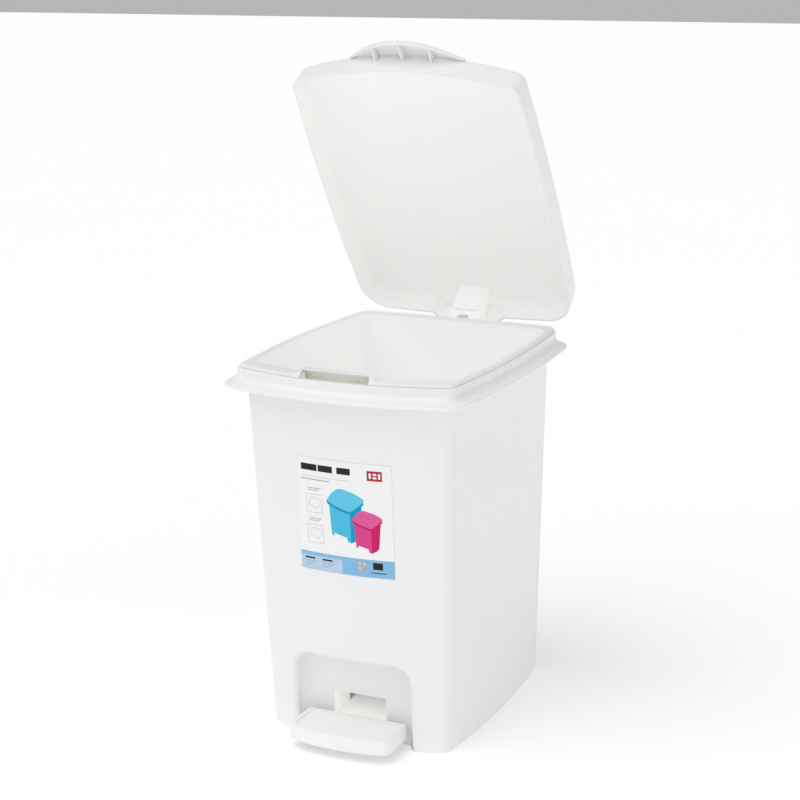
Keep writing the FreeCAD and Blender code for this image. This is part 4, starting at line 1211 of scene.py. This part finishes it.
# ---------------------------------------------------------------- small parts from the frame
@dataclass
class Fittings:
    """Pins, screws, clips, rod and lever, kept as they are and dressed."""
    finishes: dict[Slot, bpy.types.Material]
    dressing: dict[Slot, tuple[str, ...]] = field(default_factory=lambda: {
        Slot.WHITE: ("base_plate", "rod_guide"),
        Slot.ROD: ("push_rod", "pedal_lever"),
        Slot.CAPS: ("hinge_pin_caps",),
        Slot.ZINC: ("base_screws", "spine_cover_screws", "lever_screws"),
        Slot.BRIGHT: ("pedal_axle", "hinge_pin", "rod_pin", "lever_pin"),
        Slot.SPRING: ("axle_clips", "lever_pin_clips"),
    })

    def dress(self) -> None:
        """Give every carried-over node its finish."""
        for slot, names in self.dressing.items():
            for name in names:
                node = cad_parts[name]
                if not node.material_slots:
                    node.data.materials.append(None)
                for place in node.material_slots:
                    place.material = self.finishes[slot]
                LOG.info("%s dressed in %s", name, slot.value)


# ---------------------------------------------------------------- studio
def heading(azimuth: float, elevation: float) -> Vector:
    """Direction towards a place round from the front and above the floor, both in radians."""
    return Vector((math.sin(azimuth) * math.cos(elevation), -math.cos(azimuth) * math.cos(elevation),
                   math.sin(elevation)))


@dataclass
class Studio:
    """Pale floor, soft light and the camera."""
    azimuth: float = 24.947
    elevation: float = 14.404
    roll: float = -0.48
    distance: float = 1.9894
    aim_height: float = 0.3442
    aim_side: float = -0.000288
    lens: float = 83.5
    sensor: float = 36.0
    sky: float = 0.47
    sky_tint: Colour = (0.985, 0.992, 1.0, 1.0)
    floor_half: float = 14.0
    floor_glow: float = 0.20
    lamps: tuple[tuple[str, float, float, float], ...] = (
        ("front_light", -12.0, 20.0, 0.15), ("top_light", -40.0, 60.0, 1.10),
        ("side_light", 65.0, 25.0, 0.40))
    lamp_distance: float = 3.0
    softness: float = 60.0

    def build(self) -> None:
        """Set the floor, world, lights and camera."""
        self._floor()
        self._world()
        for lamp in self.lamps:
            self._lamp(*lamp)
        self._camera()

    def _floor(self) -> None:
        """Lay the floor."""
        bm = bmesh.new()
        bmesh.ops.create_grid(bm, x_segments=8, y_segments=8, size=self.floor_half)
        mesh = bpy.data.meshes.new("studio_floor")
        bm.to_mesh(mesh)
        bm.free()
        r = Recipe("studio_floor_paint")
        tone = r.blended(r.noise(1.5, 2.0), (0.955, 0.955, 0.955, 1.0), (0.965, 0.965, 0.965, 1.0))
        mesh.materials.append(r.surfaced({"Base Color": tone, "Roughness": 0.85,
                                          "Emission Color": (1.0, 1.0, 1.0, 1.0),
                                          "Emission Strength": self.floor_glow}))
        floor = bpy.data.objects.new("studio_floor", mesh)
        bpy.context.scene.collection.objects.link(floor)

    def _world(self) -> None:
        """Surround the bin with soft, nearly white light."""
        world = bpy.data.worlds.new("studio_sky")
        world.use_nodes = True
        sky = world.node_tree.nodes["Background"]
        sky.inputs["Color"].default_value = self.sky_tint
        sky.inputs["Strength"].default_value = self.sky
        bpy.context.scene.world = world
        bpy.context.scene.view_settings.view_transform = "Standard"

    def _lamp(self, name: str, azimuth: float, elevation: float, power: float) -> None:
        """Hang one wide, far-off lamp that lights everything evenly.

        Args:
            name: its name.
            azimuth: degrees round from the front towards the right.
            elevation: degrees above the floor.
            power: its strength.
        """
        data = bpy.data.lights.new(name, "SUN")
        data.energy, data.angle = power, math.radians(self.softness)
        lamp = bpy.data.objects.new(name, data)
        lamp.location = heading(math.radians(azimuth), math.radians(elevation)) * self.lamp_distance
        lamp.rotation_euler = (-lamp.location).to_track_quat("-Z", "Y").to_euler()
        bpy.context.scene.collection.objects.link(lamp)

    def _camera(self) -> None:
        """Set the camera."""
        a, e, roll = (math.radians(v) for v in (self.azimuth, self.elevation, self.roll))
        back = heading(a, e)
        right = Vector((math.cos(a), math.sin(a), 0.0))
        up = back.cross(right)
        right, up = (right * math.cos(roll) + up * math.sin(roll),
                     up * math.cos(roll) - right * math.sin(roll))
        aim = right * self.aim_side + Vector((0.0, 0.0, self.aim_height))
        data = bpy.data.cameras.new("camera")
        data.lens, data.sensor_width = self.lens, self.sensor
        camera = bpy.data.objects.new("camera", data)
        spot = aim + back * self.distance
        turn = Matrix((right, up, back)).transposed().to_4x4()
        camera.matrix_world = Matrix.Translation(spot) @ turn
        bpy.context.scene.collection.objects.link(camera)
        bpy.context.scene.camera = camera


def main() -> None:
    """Build the bin, dress it and set the studio."""
    logging.basicConfig(level=logging.INFO, format="%(name)s: %(message)s")
    # pocket is painted shade with painted glow; the window, bucket, lid, hood and neck finishes carry painted
    # glow.
    white, bucket_white, pocket = WHITE.made(), BUCKET_WHITE.made(), POCKET_SHADE_GLOW.made()
    casing = Casing(white, WINDOW_GLOW.made())
    casing.build()
    Bucket(bucket_white, BUCKET_INNER_GLOW.made(), pocket).build()
    Lid(white, LID_INNER_GLOW.made(), HOOD_GLOW.made()).build()
    Pedal(white, NECK_GLOW.made()).build()
    Label(casing).build()
    Fittings({Slot.WHITE: white, Slot.ROD: ROD_WHITE.made(), Slot.CAPS: CAP_WHITE.made(),
              Slot.ZINC: ZINC.made(), Slot.BRIGHT: BRIGHT.made(), Slot.SPRING: SPRING.made()}).dress()
    Studio().build()


if __name__ == "__main__":
    main()
